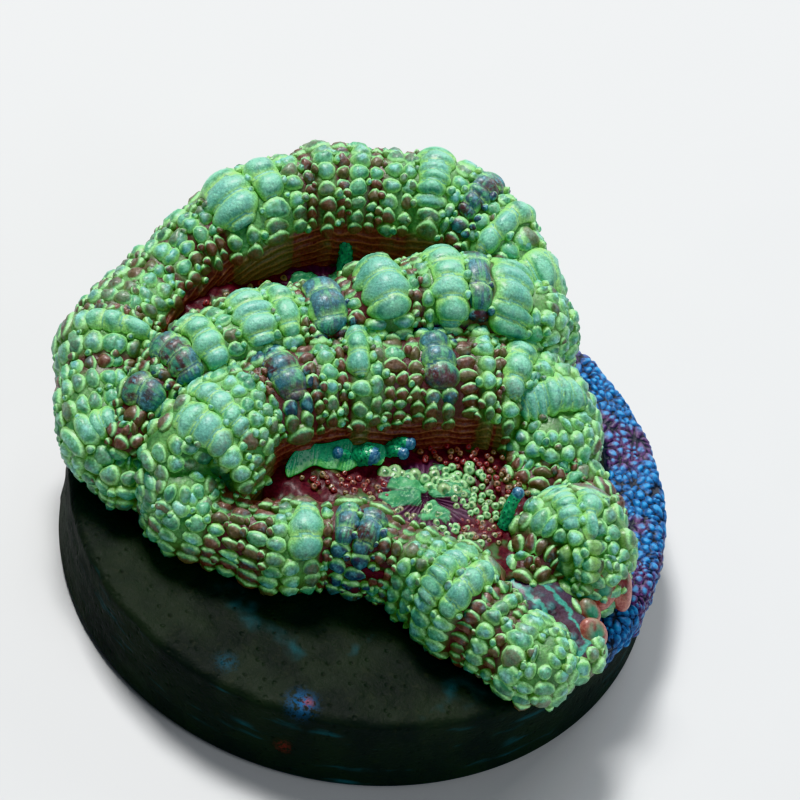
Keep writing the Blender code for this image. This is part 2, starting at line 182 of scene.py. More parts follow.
def length_property(name, description, default):
    """A length that a user can change, its default given in millimetres."""
    return bpy.props.FloatProperty(
        name=name,
        description=description,
        default=default * MM,
        min=0.1 * MM,
        max=3 * MM,
        precision=5,
        unit="LENGTH",
    )


class CoralSizes(bpy.types.PropertyGroup):
    """Sizes of the blisters and of the small parts of the mouths."""

    pitch: length_property("Blister spacing", "Distance from blister to blister down a row", 0.84)
    swell: length_property("Swell", "How far the blisters stand out of the flesh", 0.68)
    tentacle_width: length_property("Tentacle width", "Thickness of a tentacle under its round tip", 0.54)
    papilla_width: length_property("Papilla width", "Width of the papillae on the oral discs", 0.34)


def colour_property(name, description, default):
    """A colour that a user can change."""
    return bpy.props.FloatVectorProperty(
        name=name, description=description, subtype="COLOR", size=3, min=0, max=1, default=default
    )


class CoralColours(bpy.types.PropertyGroup):
    """Main colours of the colony, its plug and its crust."""

    lime: colour_property("Lime", "Edges of the green blisters", (0.235, 0.54, 0.155))
    mint: colour_property("Mint", "Crowns of the green blisters", (0.09, 0.31, 0.17))
    # Pale is partly the pale tone of the largest blisters and partly a painted highlight on blister and lobe
    # crowns
    pale: colour_property("Pale", "Crowns of the largest blisters", (0.30, 0.68, 0.52))
    brown: colour_property("Brown", "Crowns of the brown blisters", (0.115, 0.052, 0.042))
    slate: colour_property("Slate", "Crowns of the dark blue-grey blisters", (0.034, 0.06, 0.1))
    lip: colour_property("Lip", "Smooth bands round the mouths", (0.16, 0.06, 0.045))
    maroon: colour_property("Maroon", "Flesh of the oral discs", (0.045, 0.010, 0.015))
    plug: colour_property("Plug", "Film on the ceramic plug", (0.009, 0.012, 0.010))
    crust: colour_property("Crust", "Coralline algae", (0.004, 0.055, 0.2))


def sizes():
    return bpy.context.scene.coral_sizes


def colours():
    return bpy.context.scene.coral_colours


def smoothstep(low, high, value):
    """0 below low, 1 above high and a smooth S between them."""
    t = np.clip((value - low) / (high - low), 0, 1)
    return t * t * (3 - 2 * t)


def ramp(ends, share):
    """The value at a share of the way through three values: near end, middle and far end."""
    return np.interp(share, (0.0, 0.22, 0.78, 1.0), (ends[0], ends[1], ends[1], ends[2]))


def bumps(points, scale, seed):
    """Smooth noise from -1 to 1: the mean of eight sine waves that run in seeded directions."""
    rng = np.random.default_rng(seed)
    ways = rng.normal(size=(8, 3))
    ways *= rng.uniform(0.6, 1.7, (8, 1)) / np.linalg.norm(ways, axis=1)[:, None]
    phases = rng.uniform(0, 2 * math.pi, 8)
    return np.sin(points @ ways.T * (2 * math.pi / scale) + phases).sum(-1) / 4.0


def smooth_through(stations, at):
    """Catmull-Rom values of rows of numbers at places counted in rows, from 0 to the last."""
    points = np.asarray(stations, float)
    padded = np.vstack([2 * points[0] - points[1], points, 2 * points[-1] - points[-2]])
    first = np.clip(np.floor(at).astype(int), 0, len(points) - 2)
    u = (np.asarray(at) - first)[:, None]
    a, b, c, d = (padded[first + k] for k in range(4))
    return b + 0.5 * u * (c - a + u * (2 * a - 5 * b + 4 * c - d + u * (3 * (b - c) + d - a)))


def read_rows(places, known, table):
    """The rows of a table read at places, where known are the places that its rows stand for."""
    return np.stack([np.interp(places, known, column) for column in table.T], axis=1)


def travelled(points):
    """The distance from the first point of a line to each of its points, along the line."""
    return np.concatenate([[0], np.cumsum(np.linalg.norm(np.diff(points, axis=0), axis=1))])


def full_turn(count):
    """Angles that share out a whole turn evenly."""
    return np.arange(count) * 2 * math.pi / count


def laid_out(middle, turn, along, over):
    """(x, y) of places along and over a frame that is turned by degrees about a middle."""
    cos, sin = math.cos(math.radians(turn)), math.sin(math.radians(turn))
    return middle[0] + along * cos - over * sin, middle[1] + along * sin + over * cos


def round_plug(angle, radius, height):
    """Points at an angle round the plug's axis, a radius away from it and a height."""
    return np.stack(np.broadcast_arrays(radius * np.cos(angle), radius * np.sin(angle), height), axis=-1)


class Crest:
    """A fold's crest line, read by distance along it."""

    def __init__(self, fold):
        self.fold = fold
        fine = smooth_through(fold.stations, np.linspace(0, len(fold.stations) - 1, 600))
        self.travelled = travelled(fine[:, :2])
        self.length = self.travelled[-1]
        tangent = np.gradient(fine[:, :2], axis=0)
        tangent /= np.linalg.norm(tangent, axis=1)[:, None]
        self.fine = np.hstack([fine, tangent])
        self.rows = self.lay_rows()

    def lay_rows(self):
        """The fold's rows as (middle, width, tone), stretched so that together they fill its length."""
        wanted = [(word[0], int(word[1:]) / 10) for word in self.fold.rows.split()]
        scale = self.length / sum(width for _, width in wanted)
        rows = []
        start = 0.0
        for tone, width in wanted:
            rows.append((start + width * scale / 2, width * scale, tone))
            start += width * scale
        return rows

    def end_at(self, side):
        """How far along the crest its far or near end is."""
        return self.length if side == "far" else 0.0

    def end_steps(self, side, spacing):
        """How many steps of a spacing go round its far or near end."""
        at = [self.end_at(side)]
        reach = self.ribs("left", at)[0, 5] + self.ribs("right", at)[0, 5]
        return round(math.pi * 0.5 * reach / spacing)

    def tone(self, along):
        """(brown, dark, pale, lift) along the crest, blended over the borders between rows."""
        places = [middle + part * width for middle, width, _ in self.rows for part in (-0.3, 0.3)]
        table = np.array([TONES[row[2]] for row in self.rows for _ in range(2)])
        return read_rows(along, places, table)

    def ribs(self, side, at):
        """Ribs of one side at distances at, as (x, y, crest, way x, way y, reach, widest z, tuck).

        Side "left" or "right" reads at as millimetres along the crest. Side "far" or "near" reads it as
        a share of the half turn round that end, clockwise from above."""
        at = np.atleast_1d(np.asarray(at, float))
        if side in ("left", "right"):
            v = read_rows(at, self.travelled, self.fine)
            sign = 1 if side == "left" else -1
            pick = 3 if side == "left" else 5
            tuck = self.fold.tucks[0] if side == "left" else self.fold.tucks[1]
            bulge = self.tone(at)[:, 3] + 0.16 * bumps(v[:, :3] * [1, 1, 0], 5.0, 3)
            return np.stack(
                [
                    v[:, 0],
                    v[:, 1],
                    v[:, 2] + bulge,
                    -sign * v[:, 8],
                    sign * v[:, 7],
                    v[:, pick] + bulge,
                    v[:, pick + 1],
                    np.full(len(at), tuck),
                ],
                axis=1,
            )
        end = self.end_at(side)
        first, last = ("left", "right") if side == "far" else ("right", "left")
        a = self.ribs(first, [end])[0]
        b = self.ribs(last, [end])[0]
        turn = -math.pi * at
        way_x = a[3] * np.cos(turn) - a[4] * np.sin(turn)
        way_y = a[3] * np.sin(turn) + a[4] * np.cos(turn)
        mixed = a[5:] + (b[5:] - a[5:]) * at[:, None]
        crest = np.tile(a[:3], (len(at), 1))
        return np.hstack([crest, way_x[:, None], way_y[:, None], mixed])


def on_fold(ribs, angle):
    """Points at an angle, in degrees, down each rib: (ribs, angles, 3).

    From the crest, 0, to the widest place, 90, a rib is a quarter of an ellipse. From there to the base,
    180, it is another quarter that tucks in by its share of the reach."""
    a = np.radians(angle)[None, :]
    x, y, crest, way_x, way_y, reach, wide_z, tuck = (column[:, None] for column in ribs.T)
    above = a <= math.pi / 2
    out = np.where(above, reach * np.sin(a), reach * (1 - tuck * (1 - np.sin(a))))
    up = np.where(above, wide_z + (crest - wide_z) * np.cos(a), wide_z * (1 + np.cos(a)))
    return np.stack([x + out * way_x, y + out * way_y, up + SEAT_Z + 0 * out], axis=-1)


def unit(vectors):
    return vectors / np.maximum(np.linalg.norm(vectors, axis=-1, keepdims=True), 1e-9)


class Shape:
    """Surfaces gathered into one mesh, each with the same named numbers at its points."""

    def __init__(self):
        self.points = []
        self.faces = []
        self.values = {}
        self.count = 0

    def add(self, points, faces, **values):
        """Adds points (n, 3), faces as rows of point numbers, and values of one or three numbers a point."""
        self.points.append(points.reshape(-1, 3))
        self.faces.append(np.asarray(faces) + self.count)
        self.count += len(self.points[-1])
        for name, value in values.items():
            self.values.setdefault(name, []).append(value)

    def grid(self, points, close_u=False, close_v=False, flip=False, **values):
        """Adds a grid of points (u, v, 3), joined at its ends where it is closed."""
        nu, nv = points.shape[:2]
        i = np.arange(nu if close_u else nu - 1)
        j = np.arange(nv if close_v else nv - 1)
        i, j = (m.ravel() for m in np.meshgrid(i, j, indexing="ij"))
        ni, nj = (i + 1) % nu, (j + 1) % nv
        quads = np.stack([i * nv + j, ni * nv + j, ni * nv + nj, i * nv + nj], axis=1)
        if flip:
            quads = quads[:, ::-1]
        flat = {key: np.reshape(value, (nu * nv, -1)) for key, value in values.items()}
        self.add(points, quads, **flat)

    def tube(self, rings, flip=False, **values):
        """Adds rings of points (rings, sides, 3) that are closed all round, each end drawn to its middle."""
        first, last = (np.repeat(rings[[k]].mean(1, keepdims=True), rings.shape[1], axis=1) for k in (0, -1))
        padded = {key: np.concatenate([value[:1], value, value[-1:]]) for key, value in values.items()}
        self.grid(np.concatenate([first, rings, last]), close_v=True, flip=flip, **padded)

    def build(self, name, weld=None):
        """The mesh object: points in metres, smooth faces, a float or vector attribute for each value."""
        mesh = bpy.data.meshes.new(name)
        rows = [list(dict.fromkeys(row)) for part in self.faces for row in part.tolist()]
        mesh.from_pydata(np.vstack(self.points) * MM, [], rows)
        for key, parts in self.values.items():
            value = np.vstack(parts)
            kind, field = ("FLOAT", "value") if value.shape[1] == 1 else ("FLOAT_VECTOR", "vector")
            mesh.attributes.new(key, kind, "POINT").data.foreach_set(field, value.ravel().astype(np.float32))
        made = bpy.data.objects.new(name, mesh)
        bpy.context.scene.collection.objects.link(made)
        if weld:
            merge(made, weld * MM)
        mesh.shade_smooth()
        return made


def merge(thing, distance):
    """Joins points of a mesh that lie within a distance, and turns its faces outwards."""
    bm = bmesh.new()
    bm.from_mesh(thing.data)
    bmesh.ops.remove_doubles(bm, verts=bm.verts, dist=distance)
    bmesh.ops.dissolve_degenerate(bm, edges=bm.edges, dist=distance)
    bmesh.ops.recalc_face_normals(bm, faces=bm.faces)
    bm.to_mesh(thing.data)
    bm.free()


class Value:
    """A socket of a material tree. Sums on it add Math nodes."""

    def __init__(self, finish, socket):
        self.finish = finish
        self.socket = socket

    def math(self, operation, *others):
        return self.finish.node("ShaderNodeMath", {"operation": operation}, dict(enumerate((self, *others))))

    def __add__(self, other):
        return self.math("ADD", other)

    def __sub__(self, other):
        return self.math("SUBTRACT", other)

    def __mul__(self, other):
        return self.math("MULTIPLY", other)

    def __rsub__(self, other):
        return self.finish.number(other).math("SUBTRACT", self)

    __radd__ = __add__
    __rmul__ = __mul__

    def step(self, low, high):
        """0 at low, 1 at high, smooth between them. low may be the larger."""
        inputs = {0: self, 1: min(low, high), 2: max(low, high)}
        rise = self.finish.node("ShaderNodeMapRange", {"interpolation_type": "SMOOTHSTEP"}, inputs)
        return rise if low < high else 1 - rise

    def clamp(self):
        return self.finish.node("ShaderNodeClamp", {}, {0: self})


class Finish:
    """A Principled material being wired. node() adds every node but the shader's own."""

    def __init__(self, name, **constants):
        self.material = bpy.data.materials.new(name)
        self.material.use_nodes = True
        self.tree = self.material.node_tree
        self.shader = self.tree.nodes["Principled BSDF"]
        for key, value in constants.items():
            self.shader.inputs[key.replace("_", " ")].default_value = value

    def node(self, kind, settings=None, inputs=None, output=0):
        """Adds a node, its settings first, then values or links for its inputs by name or number."""
        made = self.tree.nodes.new(kind)
        for key, value in (settings or {}).items():
            setattr(made, key, value)
        for key, value in (inputs or {}).items():
            self.feed(made.inputs[key], value)
        return Value(self, made.outputs[output])

    def feed(self, socket, value):
        """Links a value to a socket, or sets a number, vector or colour on it."""
        if isinstance(value, Value):
            self.tree.links.new(value.socket, socket)
        elif hasattr(value, "__len__") and len(value) == 3 and socket.type == "RGBA":
            socket.default_value = (*value, 1)
        else:
            socket.default_value = value

    def number(self, value):
        return self.node("ShaderNodeMath", {"operation": "ADD"}, {0: value, 1: 0.0})

    def place(self, scale=(1, 1, 1)):
        """Object coordinates in millimetres, stretched by scale."""
        spot = self.node("ShaderNodeTexCoord", output=3)
        return self.vector("MULTIPLY", spot, tuple(s / MM for s in scale))

    def vector(self, operation, a, b, output=0):
        return self.node("ShaderNodeVectorMath", {"operation": operation}, {0: a, 1: b}, output)

    def attribute(self, name):
        """A named attribute's number."""
        return self.node("ShaderNodeAttribute", {"attribute_name": name}, output=2)

    def parts(self, name):
        """A named vector attribute's three numbers."""
        spot = self.node("ShaderNodeAttribute", {"attribute_name": name}, output=1)
        return [self.node("ShaderNodeSeparateXYZ", {}, {0: spot}, output=k) for k in range(3)]

    def noise(self, vector, scale, detail=3.0, roughness=0.55):
        inputs = {"Vector": vector, "Scale": scale, "Detail": detail, "Roughness": roughness}
        return self.node("ShaderNodeTexNoise", {}, inputs)

    def cells(self, vector, scale):
        """The distance to the nearest of scattered points."""
        return self.node("ShaderNodeTexVoronoi", {}, {"Vector": vector, "Scale": scale})

    def blend(self, mask, under, over, mode="MIX"):
        """The colour under, covered by the colour over where the mask is 1."""
        settings = {"data_type": "RGBA", "blend_type": mode, "clamp_factor": True}
        return self.node("ShaderNodeMix", settings, {0: mask, 6: under, 7: over}, output=2)

    def bump(self, height, distance, strength):
        """Feeds the shader's normal with a height, as deep as a distance in millimetres."""
        inputs = {"Height": height, "Distance": distance * MM, "Strength": strength}
        normal = self.node("ShaderNodeBump", {}, inputs)
        self.feed(self.shader.inputs["Normal"], normal)

    def done(self, colour, roughness=None):
        self.feed(self.shader.inputs["Base Color"], colour)
        if roughness is not None:
            self.feed(self.shader.inputs["Roughness"], roughness)
        return self.material


def wet(name, **more):
    """A wet, slightly see-through flesh shader, before its colours."""
    settings = dict(
        Roughness=0.45,
        Coat_Weight=0.22,
        Coat_Roughness=0.22,
        Subsurface_Weight=0.08,
        Subsurface_Scale=0.5 * MM,
    )
    settings.update(more)
    finish = Finish(name, **settings)
    finish.shader.inputs["Subsurface Radius"].default_value = (0.7, 1.0, 0.6)
    return finish


def grained(f, colour, place, depth):
    """A colour with fine light and dark grain, as deep as depth."""
    grain = f.noise(place, 9.0, 4.0, 0.7).step(0.3, 0.7)
    dimmed = f.blend(1.0, colour, (1 - depth,) * 3, "MULTIPLY")
    raised = f.blend(1.0, colour, (1 + depth,) * 3, "MULTIPLY")
    return f.blend(grain, dimmed, raised)


def glow(f, colour, strength):
    """Makes a flesh shine a little in its own colour."""
    f.feed(f.shader.inputs["Emission Color"], colour)
    f.shader.inputs["Emission Strength"].default_value = strength


def crown_colours(f, cloud, fine, streak, luck, pale):
    """(lime edge, mint crown, brown crown, slate crown) of blisters, by their luck and how pale they are."""
    hue = colours()
    lime = f.blend(cloud.step(0.35, 0.7), tuple(hue.lime), (0.32, 0.67, 0.18))
    lime = f.blend(luck.step(0.5, 1.0) * 0.5, lime, (0.15, 0.42, 0.17))
    mint = f.blend(streak.step(0.38, 0.64), tuple(hue.mint), (0.15, 0.44, 0.27))
    mint = f.blend((0.5 - cloud + (fine - 0.5) * 0.4).step(0.0, 0.16) * 0.8, mint, (0.03, 0.13, 0.11))
    # Pale patches on the crowns, most on pale rows: partly the row's pale tone and partly a painted highlight
    mint = f.blend((pale * 0.7 + (streak - 0.6) * 2.4 + (luck - 0.6) * 0.7).clamp(), mint, tuple(hue.pale))
    umber = f.blend(fine.step(0.35, 0.65), tuple(hue.brown), (0.17, 0.10, 0.075))
    umber = f.blend(luck.step(0.4, 0.9) * 0.6, umber, (0.10, 0.12, 0.06))
    # Painted highlight: lighter blue-teal patches on the slate crowns, placed by noise
    slate = f.blend(streak.step(0.46, 0.62), tuple(hue.slate), (0.07, 0.19, 0.22))
    slate = f.blend((luck * 0.6 - (cloud - 0.5) * 2.4).step(0.3, 0.7), slate, (0.075, 0.036, 0.042))
    # Painted highlight: pale blue patches on the slate crowns, placed by noise
    slate = f.blend((fine * 0.5 + streak * 0.5).step(0.52, 0.64) * 0.7, slate, (0.13, 0.34, 0.42))
    return lime, mint, umber, slate


def blister_finish():
    """Blisters: lime at the edge and mint on the crown, or brown or slate crowns with green edges."""
    f = wet("blister_flesh")
    x, y, z = f.parts("spot")
    brown, dark, pale = f.parts("tone")
    luck = f.attribute("luck")
    place = f.place()
    cloud = f.noise(place, 1.1, 2.0)
    fine = f.noise(place, 5.0, 3.0)
    streak = f.noise(place, 2.4, 2.0)
    lime, mint, umber, slate = crown_colours(f, cloud, fine, streak, luck, pale)
    off_crown = (x * x * 1.1 + y * y * 1.3).math("SQRT")
    crown = (off_crown + (fine - 0.5) * 0.4 + (luck - 0.5) * 0.3).step(0.98, 0.5)
    covered = f.blend(crown * 0.95, lime, mint)
    # A bright outline ring near each blister's edge, partly painted highlight: it is lighter on the blister's
    # upper side, where the light falls
    ring = off_crown.step(0.70, 0.82) * off_crown.step(1.0, 0.9) * (0.55 - y * 0.4)
    covered = f.blend(ring, covered, (0.35, 0.70, 0.33))
    glint = (off_crown + (fine - 0.5) * 0.8).step(0.5, 0.1) * (luck + pale * 0.5).step(0.2, 1.0) * (1 - brown)
    covered = f.blend(glint * 0.6, covered, (0.28, 0.64, 0.62))
    cool = (cloud + (streak - 0.5) * 0.8).step(0.56, 0.72) * crown * (luck + 0.3).step(0.3, 1.0)
    covered = f.blend(cool * 0.6, covered, (0.055, 0.23, 0.27))
    low_y = y - 0.2
    centre = ((x * x * 1.1 + low_y * low_y * 1.3).math("SQRT") + (cloud - 0.5) * 0.4).step(0.96, 0.7)
    covered = f.blend((brown * 1.25 + (fine - 0.5) * 0.5).clamp() * centre, covered, umber)
    covered = f.blend((dark + (streak - 0.5) * 0.9).step(0.2, 0.8) * centre, covered, slate)
    # Painted shade: the lower part of each blister, near the flesh, is darkened towards olive-black, more on
    # brown blisters than on green ones
    covered = f.blend(z.step(0.6, 0.35) * (brown * 0.45 + 0.42), covered, (0.06, 0.06, 0.035))
    covered = grained(f, covered, place, 0.28)
    glow(f, f.blend(1.0, covered, (0.5, 0.5, 0.5), "MULTIPLY"), 0.1)
    f.bump(fine + cloud + f.noise(place, 12.0, 3.0) * 0.4, 0.07, 0.6)
    return f.done(covered)


def lobe_finish():
    """Lobes: streaked mint or slate, with thin bright lime lines in the creases and maroon lower ends."""
    f = wet("lobe_flesh")
    x, y, z = f.parts("spot")
    brown, dark, pale = f.parts("tone")
    luck = f.attribute("luck")
    place = f.place()
    cloud = f.noise(place, 0.8, 2.0)
    fine = f.noise(place, 5.0, 3.0)
    grain = f.node("ShaderNodeCombineXYZ", {}, {0: x * 3.2, 1: y * 0.5, 2: luck * 30.0})
    streak = f.noise(grain, 1.0, 4.0, 0.62) * 0.6 + f.noise(place, 1.3, 3.0) * 0.4
    lime, mint, _, slate = crown_colours(f, cloud, fine, streak, luck, pale)
    covered = f.blend((x * x * 1.1 + y * y * 0.7 + (fine - 0.5) * 0.5).step(0.35, 1.15) * 0.9, mint, lime)
    glint = (x * x + y * y * 1.2 + (streak - 0.5) * 1.6).step(0.45, 0.05) * (1 - dark)
    covered = f.blend(glint * 0.55, covered, tuple(colours().pale))
    cool = (cloud * 0.6 + streak * 0.6 + (luck - 0.5) * 0.25).step(0.58, 0.74) * (x * x).step(0.9, 0.3)
    covered = f.blend(cool * 0.5, covered, (0.05, 0.23, 0.22))
    # Painted shade: the lobe's underside and lower flanks, where it meets the flesh, are dark olive
    covered = f.blend(z.step(0.3, -0.1), covered, (0.05, 0.09, 0.035))
    slated = (dark * 0.6 + (streak - 0.5) * 2.6).step(0.3, 0.7) * dark.step(0.05, 0.5)
    covered = f.blend(slated, covered, slate)
    crease = (y.math("ABSOLUTE") + (fine - 0.5) * 0.35).step(0.6, 1.0)
    covered = f.blend(crease * (0.85 - brown * 0.4 - dark * 0.45), covered, (0.34, 0.62, 0.22))
    covered = f.blend((brown + (fine - 0.5) * 0.5).step(0.15, 0.7) * 0.85, covered, (0.12, 0.035, 0.04))
    covered = grained(f, covered, place, 0.28)
    glow(f, f.blend(1.0, covered, (0.5, 0.5, 0.5), "MULTIPLY"), 0.1)
    f.bump(fine + streak + f.noise(place, 12.0, 3.0) * 0.4, 0.09, 0.6)
    return f.done(covered)


def flesh_finish():
    """Flesh between the blisters: lime or maroon by its row, striped on the lips, violet in the valleys, and
    darkened towards the foot as painted shade.
    """
    hue = colours()
    f = wet("coral_flesh", Coat_Weight=0.15)
    brown, dark, pale = f.parts("tone")
    lip, valley, stripe = f.parts("zone")
    place = f.place()
    cloud = f.noise(place, 1.0, 3.0)
    fine = f.noise(place, 6.0, 3.0)
    green = f.blend(cloud.step(0.35, 0.65), (0.06, 0.19, 0.07), (0.14, 0.36, 0.12))
    base = f.blend((brown * 1.3 + dark * 0.8 + (fine - 0.5) * 0.4).clamp(), green, (0.085, 0.034, 0.036))
    violet = f.blend(cloud.step(0.38, 0.6), (0.06, 0.026, 0.035), (0.07, 0.05, 0.08))
    base = f.blend((valley + (fine - 0.5) * 0.5).step(0.25, 0.75), base, violet)
    seam = (stripe * 2.6 + (cloud - 0.5) * 4.0).math("SINE").step(0.86, 1.0)
    base = f.blend(seam * valley.step(1.2, 1.7), base, (0.06, 0.30, 0.24))
    # Painted shade towards the foot: flesh below 8.4 mm up, fully below 6.2 mm, is darkened towards dark
    # maroon-brown
    low = f.node("ShaderNodeSeparateXYZ", {}, {0: place}, output=2).step(8.4, 6.2)
    base = f.blend(low * 0.8, base, (0.07, 0.03, 0.022))
    wave = (stripe * 13.2 + (cloud - 0.5) * 5.0).math("SINE") * 0.5 + 0.5
    band = f.blend(fine.step(0.3, 0.7), tuple(hue.lip), (0.09, 0.032, 0.034))
    band = f.blend(wave.step(0.75, 1.0) * 0.55, band, (0.34, 0.17, 0.115))
    patch = (pale * 1.6 + (cloud - 0.5) * 1.2).step(0.3, 0.7)
    band = f.blend(patch * 0.28, band, (0.10, 0.26, 0.11))
    base = f.blend((lip * 1.3 + (fine - 0.5) * 0.3).clamp(), base, band)
    base = grained(f, base, place, 0.25)
    knobs = f.cells(place, 1.5).step(0.55, 0.05)
    knobbed = knobs * valley.step(1.2, 1.8) * (cloud + fine * 0.4).step(0.6, 0.8)
    base = f.blend(knobbed, base, (0.07, 0.26, 0.25))
    f.bump(fine + wave * lip * 1.5 + knobs * valley.step(0.6, 1.2) * 3.0, 0.09, 0.7)
    glow(f, base, 0.05)
    return f.done(base, 0.42 + valley.step(1.0, 1.8) * 0.3)


def disc_finish():
    """Oral disc: maroon, with mint petals and violet bands round the mouth."""
    hue = colours()
    f = wet("oral_disc", Roughness=0.55, Coat_Weight=0.08, Specular_IOR_Level=0.25)
    band, petal, ray = f.parts("zone")
    place = f.place()
    cloud = f.noise(place, 0.9, 2.0)
    fine = f.noise(place, 7.0, 3.0)
    maroon = f.blend(fine.step(0.35, 0.65), tuple(hue.maroon), (0.09, 0.019, 0.026))
    maroon = f.blend(cloud.step(0.55, 0.7) * 0.7, maroon, (0.06, 0.16, 0.06))
    green = f.blend(cloud.step(0.35, 0.65), (0.03, 0.17, 0.085), (0.09, 0.33, 0.15))
    green = f.blend(fine.step(0.5, 0.7) * 0.6, green, (0.22, 0.50, 0.24))
    green = f.blend(ray.step(0.2, 1.0) * petal.step(1.1, 0.5) * 0.8, green, (0.06, 0.10, 0.07))
    violet = f.blend(ray, (0.045, 0.018, 0.035), (0.11, 0.055, 0.09))
    base = f.blend(band, maroon, violet)
    edge = (petal + (fine - 0.5) * 0.6 + (cloud - 0.5) * 0.5).step(0.3, 0.65)
    base = f.blend(edge, base, green)
    f.bump(fine + ray * band * 2.0, 0.05, 0.5)
    glow(f, base, 0.05)
    return f.done(base)


def tentacle_finish():
    """Tentacles and frill: emerald with dark specks or stripes, and a smooth blue-violet tip."""
    f = wet("tentacle_flesh", Roughness=0.3)
    share, tint, hem = f.parts("zone")
    place = f.place()
    fine = f.noise(place, 5.0, 2.0)
    specks = f.cells(place, 5.5).step(0.42, 0.16)
    body = f.blend(fine.step(0.35, 0.65), (0.015, 0.20, 0.09), (0.05, 0.38, 0.17))
    on_frill = hem.step(0.0, 0.01)
    body = f.blend(specks * share.step(0.6, 0.2) * (1 - on_frill), body, (0.02, 0.05, 0.06))
    body = f.blend(on_frill * (0.25 + (1 - tint) * fine.step(0.4, 0.65) * 0.7), body, (0.012, 0.13, 0.08))
    body = f.blend((hem + (fine - 0.5) * 0.4).step(0.55, 0.75) * (0.4 + tint * 0.6), body, (0.16, 0.55, 0.16))
    tip = f.blend(fine.step(0.4, 0.6), (0.035, 0.10, 0.19), (0.09, 0.22, 0.32))
    base = f.blend(share.step(0.3, 0.7), body, tip)
    f.bump(specks, 0.05, 0.5)
    glow(f, base, 0.06)
    return f.done(base)


def flap_finish():
    """Flaps: green and maroon faces in streaks from the middle, with salmon rims."""
    f = wet("flap_flesh", Roughness=0.4)
    x, y, _ = f.parts("spot")
    place = f.place()
    cloud = f.noise(place, 0.9, 2.0)
    fine = f.noise(place, 5.0, 3.0)
    out = (x * x + y * y).math("SQRT")
    face = f.blend(cloud.step(0.42, 0.58), (0.05, 0.24, 0.15), (0.12, 0.028, 0.035))
    rim = f.blend(fine.step(0.35, 0.65), (0.28, 0.085, 0.075), (0.42, 0.18, 0.14))
    base = f.blend((out - y * 0.5 + (cloud - 0.5) * 0.8).step(0.1, 0.7), face, rim)
    base = grained(f, base, place, 0.2)
    f.bump(fine + cloud, 0.06, 0.5)
    glow(f, base, 0.05)
    return f.done(base)


def papilla_finish():
    """Papillae: a pale pink or green ring round a dark dimple."""
    f = wet("papilla_flesh", Roughness=0.32)
    x, y, _ = f.parts("spot")
    green, _, _ = f.parts("tone")
    fine = f.noise(f.place(), 8.0, 2.0)
    out = (x * x + y * y).math("SQRT")
    ring = out.step(0.25, 0.5) * out.step(1.0, 0.72)
    foot = f.blend(green, (0.05, 0.010, 0.015), (0.05, 0.20, 0.08))
    top = f.blend(green, (0.24, 0.065, 0.065), (0.28, 0.56, 0.26))
    base = f.blend(ring, foot, top)
    base = f.blend(fine.step(0.5, 0.7) * 0.4, base, (0.2, 0.05, 0.06))
    f.bump(fine, 0.03, 0.4)
    glow(f, base, 0.06)
    return f.done(base)


# Specks of algae on the plug's front: middle and reach in millimetres, and colour
PLUG_SPECKS = [
    ((-0.9, -15.2, 5.5), 1.3, (0.015, 0.09, 0.22)),
    ((-0.6, -15.1, 5.5), 0.5, (0.30, 0.06, 0.05)),
    ((-1.4, -16.0, 2.4), 0.7, (0.16, 0.035, 0.03)),
    ((-5.2, -13.6, 5.5), 1.0, (0.015, 0.055, 0.08)),
]


def plug_finish():
    """Plug: ceramic under a near-black olive film, with blue-green streaks, darker pores and specks of algae
    on its front.
    """
    hue = colours()
    f = Finish("plug_ceramic", Roughness=0.62, Specular_IOR_Level=0.25)
    place = f.place()
    cloud = f.noise(place, 0.28, 4.0)
    fine = f.noise(place, 3.0, 5.0, 0.65)
    streaks = f.noise(f.place((0.25, 0.25, 2.2)), 0.9, 3.0)
    pores = f.cells(place, 1.7)
    film = f.blend(cloud.step(0.35, 0.65), tuple(hue.plug), (0.018, 0.024, 0.017))
    film = f.blend(fine.step(0.5, 0.75) * 0.7, film, (0.03, 0.034, 0.026))
    film = f.blend(streaks.step(0.58, 0.72) * cloud.step(0.4, 0.6) * 0.8, film, (0.015, 0.07, 0.085))
    film = f.blend(pores.step(0.2, 0.08) * fine.step(0.45, 0.6), film, (0.008, 0.01, 0.008))
    grit = f.noise(place, 2.6, 4.0, 0.7)
    for spot, reach, colour in PLUG_SPECKS:
        away = f.vector("DISTANCE", place, spot, output=1) + (grit - 0.5) * 3.0
        film = f.blend(away.step(reach, reach * 0.2) * grit.step(0.42, 0.6), film, colour)
    f.bump(fine + cloud * 0.5 - pores.step(0.3, 0.05) * 0.7, 0.12, 0.7)
    return f.done(film, 0.5 + fine * 0.35)


def crust_finish():
    """Coralline algae: cobalt nodules with mauve patches, a painted highlight of pale blue on the nodule tops
    and painted shade, near-black, in the gaps between them.
    """
    hue = colours()
    f = Finish("coralline_algae", Roughness=0.55, Coat_Weight=0.15, Coat_Roughness=0.3)
    height, patch, _ = f.parts("zone")
    place = f.place()
    cloud = f.noise(place, 0.55, 3.0)
    fine = f.noise(place, 3.6, 5.0, 0.6)
    blue = f.blend(fine.step(0.35, 0.65), tuple(hue.crust), (0.01, 0.13, 0.38))
    mauve = f.blend(fine.step(0.4, 0.6), (0.05, 0.025, 0.09), (0.12, 0.05, 0.16))
    base = f.blend((patch + (cloud - 0.5) * 1.4).step(0.5, 0.7), blue, mauve)
    # Painted highlight: pale blue on the tops of the nodules
    base = f.blend((height + (fine - 0.5) * 0.5).step(0.75, 1.05) * 0.7, base, (0.035, 0.36, 0.74))
    # Painted shade: near-black in the gaps between the nodules and at the crust's thin edges
    base = f.blend((height + (fine - 0.5) * 0.7).step(0.68, 0.35), base, (0.004, 0.008, 0.02))
    f.bump(fine + cloud, 0.16, 0.8)
    return f.done(base)


